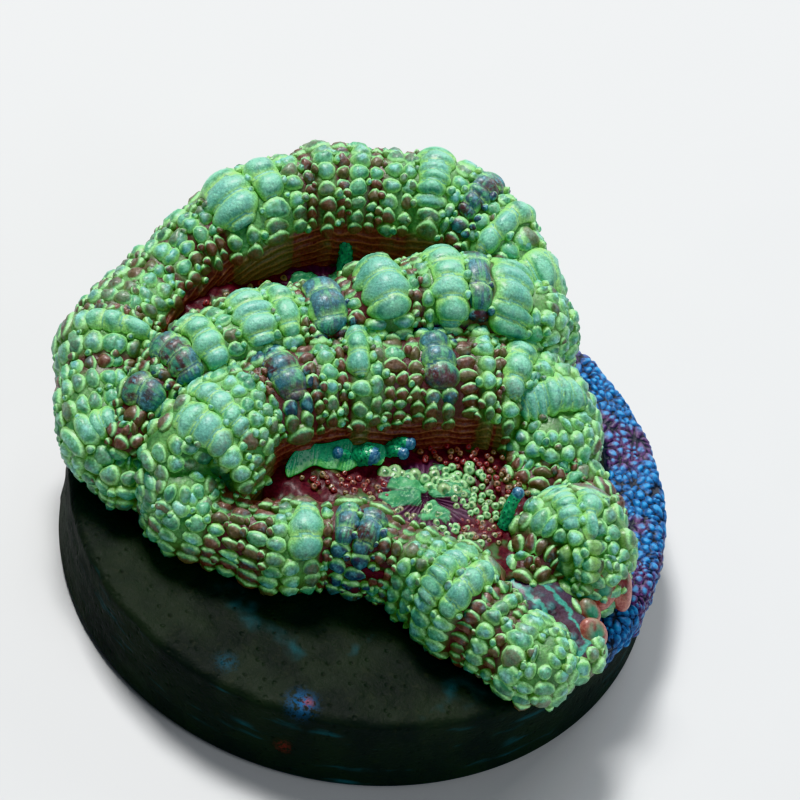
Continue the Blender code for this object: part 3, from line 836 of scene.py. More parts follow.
def floor_finish():
    """Floor: pale matte paper."""
    f = Finish("studio_floor", Roughness=0.8)
    grain = f.noise(f.place((0.02, 0.02, 0.02)), 6.0, 2.0)
    return f.done(f.blend(grain, (0.60, 0.61, 0.62), (0.64, 0.65, 0.66)))


def finish_piece(thing, slot, material, *nodes):
    """Gives a piece its material, and makes it ride in place of the nodes named.
    The slot is not used.
    """
    thing.data.materials.append(material)
    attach(thing, BODY)
    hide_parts(*nodes)


# The angles down a fold that its flesh is drawn at: close together where a lip may lie
FLESH_ANGLES = np.concatenate([np.arange(0, 52, 5.0), np.arange(52, 114, 1.6), np.arange(114, 181, 6.0)])
FLESH_SPACING = 0.42
LIP_RIDGE = 0.03
LIP_RIDGE_PITCH = 0.476
# The sides of the two folds that face each other over the violet valley between the polyps
VALLEY_SIDES = {"middle_fold": "right", "front_polyp_back": "left"}


def lip_mask(lip, angle):
    """1 inside a lip's angles. It rises over the ten degrees round their start, and fades from 20 to 45
    degrees past their end. It is 0 where there is no lip."""
    if lip is None:
        return np.zeros_like(angle)
    return smoothstep(lip[0] - 5, lip[0] + 5, angle) * (1 - smoothstep(lip[1] + 20, lip[1] + 45, angle))


def side_spans(crest, spacing):
    """The four sides of a fold in order right round it, each as (side, places along it)."""
    along = np.linspace(0, crest.length, max(4, round(crest.length / spacing)))
    turns = [max(6, crest.end_steps(side, spacing)) for side in ("far", "near")]
    far, near = (np.linspace(0, 1, count + 1)[1:-1] for count in turns)
    return [("left", along), ("far", far), ("right", along[::-1]), ("near", near)]


def along_of(crest, side, at):
    """Millimetres along the crest of places on a side: an end's whole turn is at its end of the crest."""
    if side in ("left", "right"):
        return at
    return np.full(len(at), crest.end_at(side))


def lips_of(fold, side, at):
    """The lip's angles on a side, or None. Round an end the lip of each side fades out by a quarter turn."""
    if side == "left":
        return fold.left_lip, np.ones(len(at))
    if side == "right":
        return fold.right_lip, np.ones(len(at))
    first, last = (fold.left_lip, fold.right_lip) if side == "far" else (fold.right_lip, fold.left_lip)
    if first is not None:
        return first, 1 - smoothstep(0.1, 0.5, at)
    return last, smoothstep(0.5, 0.9, at)


def add_flesh(shape, fold):
    """Adds a fold's flesh: its ribs right round it, each drawn down from the crest and closed underneath.

    On a lip, fine ridges run along the fold: a sine of the distance down the rib."""
    crest = Crest(fold)
    parts, tones, zones, middles = [], [], [], []
    for side, at in side_spans(crest, FLESH_SPACING):
        ribs = crest.ribs(side, at)
        points = on_fold(ribs, FLESH_ANGLES)
        down = np.cumsum(np.linalg.norm(np.diff(points, axis=1, prepend=points[:, :1]), axis=-1), axis=1)
        lip, strength = lips_of(fold, side, at)
        mask = lip_mask(lip, FLESH_ANGLES)[None, :] * strength[:, None]
        ridges = LIP_RIDGE * mask * np.sin(down * 2 * math.pi / LIP_RIDGE_PITCH + 2 * bumps(points, 5, 9))
        points[..., :2] += ribs[:, None, 3:5] * ridges[..., None]
        valley = np.zeros(points.shape[:2])
        if fold.bare:
            valley += 2 * (1 - smoothstep(fold.bare, fold.bare + 20, FLESH_ANGLES))
        if side == VALLEY_SIDES.get(fold.name):
            valley += smoothstep(60, 85, FLESH_ANGLES) * smoothstep(0.0, 0.12, at / crest.length)[:, None]
        parts.append(points)
        tones.append(np.broadcast_to(crest.tone(along_of(crest, side, at))[:, None, :3], points.shape))
        zones.append(np.stack([mask, valley, down], axis=-1))
        middles.append(ribs[:, :2])
    points, tone, zone = (np.concatenate(each) for each in (parts, tones, zones))
    under = points[:, -1:].copy()
    under[:, 0, :2] = np.concatenate(middles)
    shape.grid(
        np.concatenate([points, under], axis=1),
        close_u=True,
        tone=np.concatenate([tone, tone[:, -1:]], axis=1),
        zone=np.concatenate([zone, zone[:, -1:]], axis=1),
    )


# A blister's template: a ball of unit radius with few faces, its rings close together on the crown
BLISTER_SIDES = 11
BLISTER_RINGS = (0.0, 28.0, 54.0, 82.0, 118.0, 180.0)


def ball(sides, rings):
    """A closed ball's points and faces: rings at polar angles in degrees from +Z, a single point at poles.

    A face at a pole names the pole's point twice."""
    polar = np.radians(rings[1:-1])
    turn = full_turn(sides)
    body = np.stack(
        [
            np.sin(polar)[:, None] * np.cos(turn),
            np.sin(polar)[:, None] * np.sin(turn),
            np.repeat(np.cos(polar)[:, None], sides, axis=1),
        ],
        axis=-1,
    ).reshape(-1, 3)
    points = np.vstack([[[0, 0, 1]], body, [[0, 0, -1]]])
    j = np.arange(sides)
    after = (j + 1) % sides
    top = np.zeros(sides, int)
    base = np.full(sides, len(points) - 1)
    rows = [np.stack([top, 1 + j, 1 + after, top], axis=1)]
    for k in range(len(polar) - 1):
        a, b = 1 + k * sides, 1 + (k + 1) * sides
        rows.append(np.stack([a + j, b + j, b + after, a + after], axis=1))
    a = 1 + (len(polar) - 1) * sides
    rows.append(np.stack([a + after, a + j, base, base], axis=1))
    return points, np.vstack(rows)


class Blisters:
    """Gathers blisters: their centres, axes, radii, tips, tones and luck."""

    def __init__(self, seed):
        self.rng = np.random.default_rng(seed)
        self.sets = []

    def add(self, centre, axes, radii, tip, tone):
        """Adds n blisters. axes (n, 3, 3) hold the ways across, down and out as rows."""
        self.sets.append((centre, axes, radii, tip, tone, self.rng.uniform(0, 1, len(centre))))

    def build(self, name, sides=BLISTER_SIDES, rings=BLISTER_RINGS):
        """One mesh of them all. A tip narrows a blister towards its upper end and lifts that end, so that
        it turns from a dome into a scale."""
        centre, axes, radii, tip, tone, luck = (np.concatenate(part) for part in zip(*self.sets))
        ball_points, ball_faces = ball(sides, rings)
        n, m = len(centre), len(ball_points)
        local = np.repeat(ball_points[None], n, axis=0)
        high = np.clip(-local[..., 1], 0, 1)
        t = tip[:, None]
        local[..., 0] *= 1 - 0.5 * t * high**1.5
        local[..., 1] *= 1 + 0.2 * t * high
        local[..., 2] += 0.6 * t * high**1.3
        turn = np.arctan2(local[..., 1], local[..., 0])
        wobble = 1 + 0.06 * np.sin(3 * turn + luck[:, None] * 40)
        wobble += 0.05 * np.sin(2 * turn + luck[:, None] * 90)
        world = centre[:, None] + np.einsum("nmi,nij->nmj", local * wobble[..., None] * radii[:, None], axes)
        faces = (ball_faces[None] + (np.arange(n) * m)[:, None, None]).reshape(-1, 4)
        shape = Shape()
        shape.add(
            world,
            faces,
            spot=np.tile(ball_points, (n, 1)),
            tone=np.repeat(tone, m, axis=0),
            luck=np.repeat(luck, m)[:, None],
        )
        return shape.build(name)


ROW_ANGLES = np.arange(0.0, 161.0, 1.0)
CELL_WIDTH = 1.04
BLISTER_SINK = 0.5


class Strip:
    """The strip of a fold's side between two ribs, read by distance down its middle and place across it."""

    def __init__(self, crest, side, at, half, angles=ROW_ANGLES):
        low, high = at - half, at + half
        if side in ("far", "near"):
            low, high = max(low, 0.0), min(high, 1.0)
        self.middle, first, last = (on_fold(crest.ribs(side, [v]), angles)[0] for v in (at, low, high))
        self.across = (last - first) / 2
        self.bow = (last + first) / 2 - self.middle
        self.down = travelled(self.middle)
        rib = crest.ribs(side, [at])[0]
        self.outward = np.array([rib[3], rib[4], 0.9])

    def read(self, table, places):
        return read_rows(places, self.down, table)

    def point(self, places, x):
        """Points at places down the strip and x, from -1 to 1, across it."""
        middle, across, bow = (self.read(table, places) for table in (self.middle, self.across, self.bow))
        return middle + x[:, None] * across + x[:, None] ** 2 * bow

    def axes(self, places):
        """The ways across, down and out at places, as rows."""
        down = unit(self.read(self.middle, places + 0.1) - self.read(self.middle, places - 0.1))
        out = unit(np.cross(unit(self.read(self.across, places)), down))
        out *= np.where(out @ self.outward < 0, -1, 1)[:, None]
        return np.stack([unit(np.cross(down, out)), down, out], axis=1)

    def width(self, places):
        return 2 * np.linalg.norm(self.read(self.across, places), axis=1)


def shaded(rng, word, near_lip, foot, centre):
    """Tones of the blisters of a row: the row's own, mixed by luck and, at the rear, by soft patches. They
    are browner by a lip. Under the fold they are browner and less slate and pale, as painted shade."""
    brown, dark, pale, _ = TONES[word]
    count = len(near_lip)
    odd = rng.uniform(0, 1, count) < 0.16
    shade = rng.uniform(-0.15, 0.15, (3, count))
    rear = smoothstep(13.8, 15.4, np.hypot(centre[:, 0], centre[:, 1])) * smoothstep(-1, 3, centre[:, 1])
    patch = bumps(centre, 6.5, 21) * rear
    first = np.where(odd, 0.55 - brown * 0.6, brown) + 0.85 * near_lip * rng.uniform(0.3, 1, count)
    # Painted shade under the fold: foot makes blisters browner here, and less slate and pale below
    first += 0.4 * foot
    first += np.where(patch > 0, 0.5 * smoothstep(0.25, 0.6, patch), -0.6 * smoothstep(0.1, 0.6, -patch))
    second = dark * (1 - near_lip) * (1 - 0.6 * foot)
    third = pale * (1 - near_lip) * (1 - 0.7 * foot)
    return np.clip(np.stack([first, second, third], axis=1) + shade.T, 0, 1)


def add_row(blisters, crest, side, at, half, word, begin, stop, gentle, whole=0):
    """Adds one row of blisters down a side, from the angle begin to the angle stop.

    Blisters follow the rib's length at even steps. As many stand side by side as cells of an even width
    fit in the strip, but the first few, as many as whole, each fill it. Towards a lip, where gentle is
    true, they get small, brown and pointed."""
    rng = blisters.rng
    strip = Strip(crest, side, at, half)
    end = np.interp(stop, ROW_ANGLES, strip.down)
    grade = 1.08 - 0.24 * TONES[word][0]
    pitch = sizes().pitch / MM * grade * rng.uniform(0.9, 1.1)
    place = np.interp(begin, ROW_ANGLES, strip.down) + pitch * rng.uniform(0.1, 0.6)
    places, spots = [], []
    number = 0
    while place < end:
        angle = np.interp(place, strip.down, ROW_ANGLES)
        width = strip.width(np.array([place]))[0]
        number += 1
        columns = 1 if number <= whole else max(1, round(width / (CELL_WIDTH * grade)))
        if width > 0.34:
            places += [place] * columns
            shift = (len(places) % 2 - 0.5) * 0.5 / columns if columns > 1 else 0.0
            shift += 0.1 * math.sin(place * 1.7 + at * 3)
            spots += [(2 * (k + 0.5) / columns - 1 + shift, width / columns) for k in range(columns)]
        nearness = smoothstep(0.4, 1.0, angle / stop) if gentle else 0.0
        place += pitch * (1.25 if number < whole else 1) * (1 - 0.22 * nearness) * rng.uniform(0.9, 1.1)
    if not places:
        return
    count = len(places)
    places = np.array(places) + rng.uniform(-0.06, 0.06, count)
    x, cell = np.array(spots).T
    angle = np.interp(places, strip.down, ROW_ANGLES)
    near_lip = smoothstep(0.42, 0.95, angle / stop) if gentle else np.zeros(count)
    # How far under the fold a blister lies; shaded() turns it into painted shade
    foot = smoothstep(95, 150, angle)
    size = rng.uniform(0.84, 1.16, count)
    radii = np.stack(
        [
            cell * 0.6 * (1 - 0.14 * near_lip) * rng.uniform(0.9, 1.1, count),
            pitch * (0.62 + 0.1 * (cell > 1.35) - 0.04 * near_lip) * size,
            sizes().swell / MM * (1 - 0.16 * near_lip) * size,
        ],
        axis=1,
    )
    axes = strip.axes(places)
    centre = strip.point(places, x + rng.uniform(-0.07, 0.07, count))
    centre -= axes[:, 2] * radii[:, 2:] * BLISTER_SINK
    tip = near_lip * rng.uniform(0.5, 1.0, count) + (0.35 + 0.5 * TONES[word][0]) * rng.uniform(0, 1, count)
    blisters.add(centre, axes, radii, tip, shaded(rng, word, near_lip, foot, centre))


# Fillers: their spacing, how many of the places are taken, and their radii
FILLER_STEP = 0.6
FILLER_SHARE = 0.4
FILLER_RADII = (0.24, 0.25, 0.36)


def add_fillers(blisters, crest, side, at, word, begin, stop):
    """Adds small blisters at uneven steps down the groove between two rows."""
    rng = blisters.rng
    strip = Strip(crest, side, at, 0.3 if side in ("left", "right") else 0.05)
    start, end = np.interp((begin, stop), ROW_ANGLES, strip.down)
    places = np.arange(start, end, FILLER_STEP)
    places = places[rng.uniform(0, 1, len(places)) < FILLER_SHARE]
    if len(places) == 0:
        return
    count = len(places)
    places = places + rng.uniform(-0.15, 0.15, count)
    radii = rng.uniform(0.75, 1.3, count)[:, None] * FILLER_RADII
    axes = strip.axes(places)
    centre = strip.point(places, rng.uniform(-0.4, 0.4, count))
    still = np.zeros(count)
    blisters.add(centre, axes, radii, rng.uniform(0, 0.8, count), shaded(rng, word, still, still, centre))


END_ROW_WIDTH = 1.15
LOBE_STEP = 0.11
LOBE_SIDES = 26
LOBE_PITCH = 0.92
LOBE_READS = 60


def add_lobe(shape, crest, at, half, word, left_stop, right_stop, rng):
    """Adds a lobe: an ellipse carried over the crest from one side of the fold to the other.

    Its width and height swell between creases that lie a blister's length apart, and taper at both
    ends. The creases bow, so that the lobe looks like a row of blisters grown together."""
    left = Strip(crest, "left", at, half, np.linspace(left_stop, 0, LOBE_READS))
    right = Strip(crest, "right", at, half, np.linspace(0, right_stop, LOBE_READS))
    middle, across, bow = (
        np.vstack([getattr(left, key), getattr(right, key)[1:]]) for key in ("middle", "across", "bow")
    )
    run = travelled(middle)
    length = run[-1]
    s = np.linspace(0, length, max(12, round(length / LOBE_STEP)))
    middle, across, bow = (read_rows(s, run, table) for table in (middle, across, bow))
    out = unit(np.cross(unit(across), unit(np.gradient(middle, axis=0))))
    out *= np.sign(np.mean(out[:, 2]))
    pitch = LOBE_PITCH * rng.uniform(0.65, 1.5)
    creases = (np.cumsum(rng.uniform(0.7, 1.3, 40)) - 1.4 - rng.uniform(0, 1)) * pitch
    turn = full_turn(LOBE_SIDES)
    x = np.cos(turn)
    z = np.where(np.sin(turn) > 0, np.sin(turn), 0.4 * np.sin(turn))
    ripple = 0.05 * bumps(middle[:, None] + x[None, :, None], 1.6, 8)
    number = np.interp(s[:, None] + 0.16 * (1 - x**2) * half + ripple, creases, np.arange(len(creases)))
    segment = np.floor(number).astype(int)
    t = 2 * (number - segment) - 1
    puff = np.sqrt(1 - 0.9 * t**2)
    stout, wide, sway = (rng.uniform(-1, 1, len(creases) + 1)[segment] * (1 - t**2) for _ in range(3))
    ends = np.clip(np.minimum(s, length - s) / (0.9 * half + 0.3), 0, 1)
    end = np.sqrt(1 - (1 - ends) ** 2)[:, None]
    height = (0.32 + 0.24 * half) * end * (0.28 + 0.72 * puff) * (1 + 0.22 * stout)
    reach = x * (0.3 + 0.7 * end) * (0.84 + 0.24 * puff) * (1 + 0.14 * wide) + 0.12 * sway
    points = middle[:, None] + reach[..., None] * across[:, None] + (reach**2)[..., None] * bow[:, None]
    points += (z * height)[..., None] * out[:, None]
    brown, dark, pale, _ = TONES[word]
    drop = np.abs(s - run[LOBE_READS - 1]) / length
    tone = np.stack([brown + 0.35 * smoothstep(0.38, 0.5, drop), dark + 0 * drop, pale + 0 * drop], axis=-1)
    shape.tube(
        points,
        flip=True,
        spot=np.stack(np.broadcast_arrays(x, t, z), axis=-1),
        tone=np.broadcast_to(tone[:, None], points.shape),
        luck=rng.uniform(0, 1, len(creases) + 1)[segment][..., None],
    )


def cover_fold(blisters, lobes, fold):
    """Lays a fold's rows on its two sides and round its two ends.

    A row of a lobed tone starts as a lobe over the crest, and goes on as blisters below it."""
    crest = Crest(fold)
    rng = blisters.rng
    for middle, width, word in crest.rows:
        share = middle / crest.length
        lobed = word in LOBE_TONES and width >= LOBE_WIDTH
        stops = [float(ramp(ends, share)) for ends in (fold.left, fold.right)]
        begins = [0.0, 0.0]
        if lobed:
            begins = [min(stop, 75) * fold.lobed * rng.uniform(0.62, 1.05) for stop in stops]
            add_lobe(lobes, crest, middle, width / 2, word, *begins, rng)
        for side, begin, stop in zip(("left", "right"), begins, stops):
            gentle = stop < 100 and (fold.left_lip if side == "left" else fold.right_lip) is not None
            whole = rng.integers(1, 3) if lobed and width < 1.6 else 0
            top = max(begin, fold.bare)
            add_row(blisters, crest, side, middle, width / 2, word, top, stop, gentle, whole)
            add_fillers(blisters, crest, side, middle + width / 2, word, max(4.0, fold.bare), stop)
    for side in ("far", "near"):
        near = side == "near"
        turns = max(3, crest.end_steps(side, END_ROW_WIDTH))
        word = crest.rows[0 if near else -1][2]
        first, last = (fold.right[0], fold.left[0]) if near else (fold.left[2], fold.right[2])
        for k in range(turns):
            share = (k + 0.5) / turns
            stop = float(first + (last - first) * share)
            add_row(blisters, crest, side, share, 0.5 / turns, word, max(8.0, fold.bare), stop, False)
            add_fillers(blisters, crest, side, (k + 0.99) / turns, word, 40.0, stop)


DISC_RINGS = 110
DISC_SIDES = 240
DISC_DEPTH = 1.6
# Petals round a mouth: heading in degrees, half width against the distance from the mouth, and length
PETALS = [(150, 0.8, 2.1), (48, 0.95, 2.7), (-58, 0.75, 1.9), (204, 0.5, 2.6)]


def add_disc(shape, disc):
    """Adds an oral disc: rings of points out from its mouth, closed underneath.

    Round the mouth stand raised petals that widen outwards. Between them, and in a ring round them, lie low
    bands with fine folds that run outwards."""
    s, t = np.meshgrid(np.linspace(0, 1, DISC_RINGS) ** 1.2, full_turn(DISC_SIDES), indexing="ij")
    x, y = laid_out(disc.centre, disc.turn, disc.reach[0] * s * np.cos(t), disc.reach[1] * s * np.sin(t))
    flat = np.stack([x, y, 0 * x], axis=-1)
    out = np.hypot(x - disc.centre[0], y - disc.centre[1]) + 0.3 * bumps(flat, 1.6, 15)
    straight = np.arctan2(y - disc.centre[1], x - disc.centre[0])
    heading = straight + 0.25 * bumps(flat, 1.5, 18)
    petal = np.zeros_like(x)
    for way, width, length in PETALS:
        turned = heading - math.radians(way)
        ahead, aside = out * np.cos(turned), np.abs(out * np.sin(turned))
        inside = 1 - smoothstep(0.35, 1.1, aside / (0.15 + width * np.clip(ahead, 0, 1.3)))
        inside = inside * smoothstep(0.15, 0.4, ahead) * (1 - smoothstep(0.8, 1.0, ahead / length))
        petal = np.maximum(petal, inside)
    band = (1 - smoothstep(2.1, 2.7, out)) * (1 - petal)
    ray = 0.5 + 0.5 * np.cos(straight * 38 + bumps(flat, 3, 4))
    height = disc.height + 0.2 * petal * (0.8 + 0.4 * bumps(flat, 0.8, 7)) + 0.05 * ray * band
    height += 0.16 * bumps(flat, 2.6, 5) - 0.5 * s**3 + 0.05 * bumps(flat, 0.7, 6) * (1 - band)
    top = np.stack([x, y, height + SEAT_Z], axis=-1)
    under = top[[-1, 0]]
    under[..., 2] = SEAT_Z + disc.height - DISC_DEPTH
    zone = np.stack([band, petal, ray], axis=-1)
    points = np.concatenate([top, under])
    shape.grid(points, close_v=True, flip=True, zone=np.concatenate([zone, zone[[-1, -1]]]))


FRILL_PATH = [(-4.4, -3.4, 3.1), (-3.4, -2.4, 3.2), (-2.1, -1.9, 3.2), (-0.7, -1.4, 3.2), (0.6, -1.15, 3.2)]
FRILL_RINGS = 330
FRILL_SIDES = 30


def add_frill(shape):
    """Adds the frill behind the tentacles: a thin leaning oval carried along a line, with a wavy hem."""
    at = np.linspace(0, len(FRILL_PATH) - 1, FRILL_RINGS)
    s, t = np.meshgrid(at / at[-1], full_turn(FRILL_SIDES), indexing="ij")
    gather = np.sin(s * 150 + 5.0 * np.sin(s * 9) + 1.5 * np.sin(t + s * 40)) * (0.6 + 0.4 * np.sin(s * 23))
    ends = np.sqrt(np.clip(1 - (2 * s - 1) ** 8, 0, 1))
    rise = (1 + 0.15 * np.sin(s * 13)) * ends * np.sin(t)
    thick = (0.13 + 0.012 * gather) * ends + 0.01
    points = np.repeat(smooth_through(FRILL_PATH, at)[:, None], FRILL_SIDES, axis=1)
    wave = 0.2 * bumps(points, 1.2, 31) * np.clip(0.4 - np.sin(t), 0, 1)
    points[..., 1] += 0.6 * rise - thick * np.cos(t) - wave
    points[..., 2] += 0.42 * rise + 0.75 + SEAT_Z
    shape.tube(points, zone=np.stack([0 * s, 0.5 + 0.5 * gather, 0.5 - 0.5 * np.sin(t)], axis=-1))


# Tentacles: foot, bend and tip, and how thick they are against the usual
Tentacle = namedtuple("Tentacle", "foot bend tip stout")
TENTACLES = [
    Tentacle((-1.0, -1.5, 3.2), (-1.5, -1.7, 4.0), (-2.15, -1.9, 4.15), 0.9),
    Tentacle((-1.0, -1.1, 3.3), (-0.3, -1.6, 4.2), (0.35, -1.75, 4.25), 1.9),
    Tentacle((0.5, -0.5, 3.4), (1.1, -0.8, 4.1), (1.8, -1.05, 4.15), 1.1),
    Tentacle((0.8, -0.2, 3.6), (1.4, -0.4, 4.4), (2.05, -0.5, 4.5), 1.1),
    Tentacle((7.5, -3.6, 3.2), (7.6, -3.1, 4.4), (7.95, -2.5, 5.3), 1.15),
    Tentacle((-3.7, 9.9, 4.9), (-3.8, 10.5, 6.0), (-4.05, 11.1, 6.9), 1.3),
]
TENTACLE_RINGS = 60
TENTACLE_SIDES = 28


def add_tentacle(shape, tentacle, width):
    """Adds a tentacle: a circle carried along a bent line, with a warty shaft and a round bulb at its tip."""
    at = np.linspace(0, 2, TENTACLE_RINGS)
    share = at / 2
    line = smooth_through([tentacle.foot, tentacle.bend, tentacle.tip], at)
    tangent = unit(np.gradient(line, axis=0))
    side = unit(np.cross(tangent, [0.3, 0.2, 1.0]))
    lift = np.cross(side, tangent)
    length = travelled(line)[-1]
    thick = width * tentacle.stout
    bulb_radius = 0.33 + 0.1 * (thick - 0.5)
    left = np.clip(length * (1 - share), 0, 2 * bulb_radius)
    bulb = np.sqrt(np.clip(1 - (left / bulb_radius - 1) ** 2, 0, 1)) * bulb_radius
    shaft = thick * (0.6 - 0.14 * share) * smoothstep(0.0, 0.5 * bulb_radius, left)
    radius = np.maximum(np.maximum(shaft * (left > bulb_radius), bulb), 0.01)
    tip_share = 1 - 2 * bulb_radius / length
    s, t = np.meshgrid(share, full_turn(TENTACLE_SIDES), indexing="ij")
    warts = 0.10 * np.sin(s * 34 + 1.5 * np.sin(t * 2)) * np.sin(t * 5 + s * 9) * (s < tip_share)
    outward = np.cos(t)[..., None] * side[:, None] + np.sin(t)[..., None] * lift[:, None]
    points = line[:, None] + (radius[:, None] * (1 + warts))[..., None] * outward
    points[..., 2] += SEAT_Z
    shape.tube(points, zone=np.stack([smoothstep(tip_share, tip_share + 0.1, s), 0 * s, 0 * s], axis=-1))


# Patches of papillae: middle, half lengths, turn, how many, how green, how large against the usual and height
Patch = namedtuple("Patch", "middle reach turn count green large height")
PATCHES = [
    Patch((-0.9, -3.2), (2.6, 0.7), 8, 30, 0.0, 1.0, 3.45),
    Patch((4.4, 0.2), (2.4, 0.7), 14, 26, 0.0, 1.0, 3.6),
    Patch((7.0, -0.9), (1.6, 0.8), -30, 22, 0.1, 1.0, 3.6),
    Patch((6.2, -4.3), (1.3, 0.9), -20, 24, 0.15, 1.0, 3.4),
    Patch((4.4, -1.2), (1.7, 0.7), 20, 16, 1.0, 1.7, 3.6),
    Patch((5.9, -2.5), (1.8, 1.1), -10, 34, 0.9, 1.35, 3.5),
    Patch((4.9, -4.9), (1.9, 0.7), -25, 22, 0.9, 1.35, 3.4),
    Patch((1.0, -4.4), (2.0, 0.5), -4, 20, 0.5, 1.2, 3.4),
    Patch((1.6, -2.0), (0.9, 0.5), 0, 7, 1.0, 2.4, 3.4),
    Patch((4.0, -2.0), (0.9, 0.6), 20, 8, 1.0, 2.5, 3.45),
    Patch((3.6, -3.9), (0.5, 0.4), 0, 4, 1.0, 2.2, 3.35),
    Patch((-8.6, 6.6), (3.4, 0.6), 40, 26, 0.15, 1.2, 5.0),
    Patch((-0.6, 10.6), (3.6, 0.7), 18, 26, 0.5, 1.6, 5.0),
]

GOLDEN_ANGLE = 2.39996


def scatter_patch(blisters, patch, width):
    """Scatters papillae over an ellipse: golden-angle places, nudged, each a squat upright ball."""
    rng = blisters.rng
    n = patch.count
    k = np.arange(n) + 0.5
    radius = np.sqrt(k / n)
    turn = k * GOLDEN_ANGLE
    local = np.stack([radius * np.cos(turn) * patch.reach[0], radius * np.sin(turn) * patch.reach[1]], axis=1)
    local += rng.uniform(-0.08, 0.08, local.shape)
    x, y = laid_out(patch.middle, patch.turn, *local.T)
    z = patch.height + SEAT_Z + 0.1 * bumps(np.stack([x, y, 0 * x], axis=1), 2.6, 5)
    lean = unit(np.stack([rng.uniform(-0.3, 0.3, n), rng.uniform(-0.7, -0.1, n), np.ones(n)], axis=1))
    across = unit(np.cross(np.tile([0, 1.0, 0], (n, 1)), lean))
    axes = np.stack([across, np.cross(lean, across), lean], axis=1)
    size = width * patch.large * rng.uniform(0.42, 0.62, n)
    green = np.clip(patch.green + rng.uniform(-0.25, 0.25, n), 0, 1)
    tone = np.stack([green, 0 * green, 0 * green], axis=1)
    blisters.add(np.stack([x, y, z], axis=1), axes, size[:, None] * [1, 1, 0.75], np.zeros(n), tone)


# Salmon-edged flaps on the colony's right: middle, heading of the face in degrees, and radii
FLAPS = [
    ((14.1, -5.2, 2.3), -40, (0.8, 1.35, 0.5)),
    ((13.2, -5.9, 2.6), -70, (0.8, 1.2, 0.5)),
    ((12.8, -7.3, 2.1), -45, (0.7, 0.9, 0.5)),
    ((13.2, -8.5, 1.8), -40, (0.85, 1.2, 0.6)),
    ((13.0, -9.9, 1.3), -60, (0.8, 0.9, 0.5)),
]


def add_flaps(blisters):
    """Adds the flaps: flattened balls that stand on edge, each facing out along its heading."""
    middle = np.array([flap[0] for flap in FLAPS]) + [0, 0, SEAT_Z]
    heading = np.radians([flap[1] for flap in FLAPS])
    out = unit(np.stack([np.cos(heading), np.sin(heading), 0.55 + 0 * heading], axis=1))
    across = unit(np.cross([0, 0, 1.0], out))
    down = np.cross(out, across)
    radii = np.array([flap[2] for flap in FLAPS])
    n = len(FLAPS)
    blisters.add(middle, np.stack([across, down, out], axis=1), radii, np.zeros(n), np.zeros((n, 3)))


class CORAL_OT_stage(bpy.types.Operator):
    """Floor, soft lights, and the camera at the photograph's viewing angle"""

    bl_idname = "coral.stage"
    bl_label = "Stage"

    def execute(self, context):
        make_floor()
        make_lights()
        make_camera()
        return {"FINISHED"}


class CORAL_OT_flesh(bpy.types.Operator):
    """Folds of flesh, with striped lips round the mouths"""

    bl_idname = "coral.flesh"
    bl_label = "Flesh folds"

    def execute(self, context):
        shape = Shape()
        for fold in FOLDS:
            add_flesh(shape, fold)
        finish_piece(shape.build("coral_flesh", 0.004), "coral_flesh", flesh_finish(), "coral_colony")
        return {"FINISHED"}


class CORAL_OT_blisters(bpy.types.Operator):
    """Rows of blisters over every fold"""

    bl_idname = "coral.blisters"
    bl_label = "Blisters"

    def execute(self, context):
        material = blister_finish()
        lobes = Shape()
        for number, fold in enumerate(FOLDS):
            blisters = Blisters(100 + number)
            cover_fold(blisters, lobes, fold)
            made = blisters.build("blisters_" + fold.name)
            finish_piece(made, "coral_flesh", material, "coral_colony")
        finish_piece(lobes.build("lobes", 0.002), "coral_flesh", lobe_finish(), "coral_colony")
        return {"FINISHED"}


class CORAL_OT_mouths(bpy.types.Operator):
    """Oral discs with their papillae and tentacles"""

    bl_idname = "coral.mouths"
    bl_label = "Mouths"

    def execute(self, context):
        shape = Shape()
        for disc in (FRONT_DISC, REAR_DISC):
            add_disc(shape, disc)
        finish_piece(shape.build("oral_discs", 0.002), "coral_flesh", disc_finish(), "coral_colony")
        shape = Shape()
        for tentacle in TENTACLES:
            add_tentacle(shape, tentacle, sizes().tentacle_width / MM)
        add_frill(shape)
        finish_piece(shape.build("tentacles", 0.002), "coral_flesh", tentacle_finish(), "coral_colony")
        flaps = Blisters(60)
        add_flaps(flaps)
        made = flaps.build("flaps", 32, tuple(np.linspace(0, 180, 15)))
        finish_piece(made, "coral_flesh", flap_finish(), "coral_colony")
        papillae = Blisters(40)
        for patch in PATCHES:
            scatter_patch(papillae, patch, sizes().papilla_width / MM)
        made = papillae.build("papillae", 12, (0.0, 18.0, 36.0, 58.0, 90.0, 180.0))
        finish_piece(made, "coral_flesh", papilla_finish(), "coral_colony")
        return {"FINISHED"}


PLUG_SEGMENTS = 260
PLUG_EDGE = 0.5


class CORAL_OT_plug(bpy.types.Operator):
    """Round ceramic plug with worn edges and a pitted wall"""

    bl_idname = "coral.plug"
    bl_label = "Plug"

    def execute(self, context):
        shape = Shape()
        add_plug(shape)
        finish_piece(shape.build("frag_plug_surface", 0.002), "plug_ceramic", plug_finish(), "frag_plug")
        return {"FINISHED"}


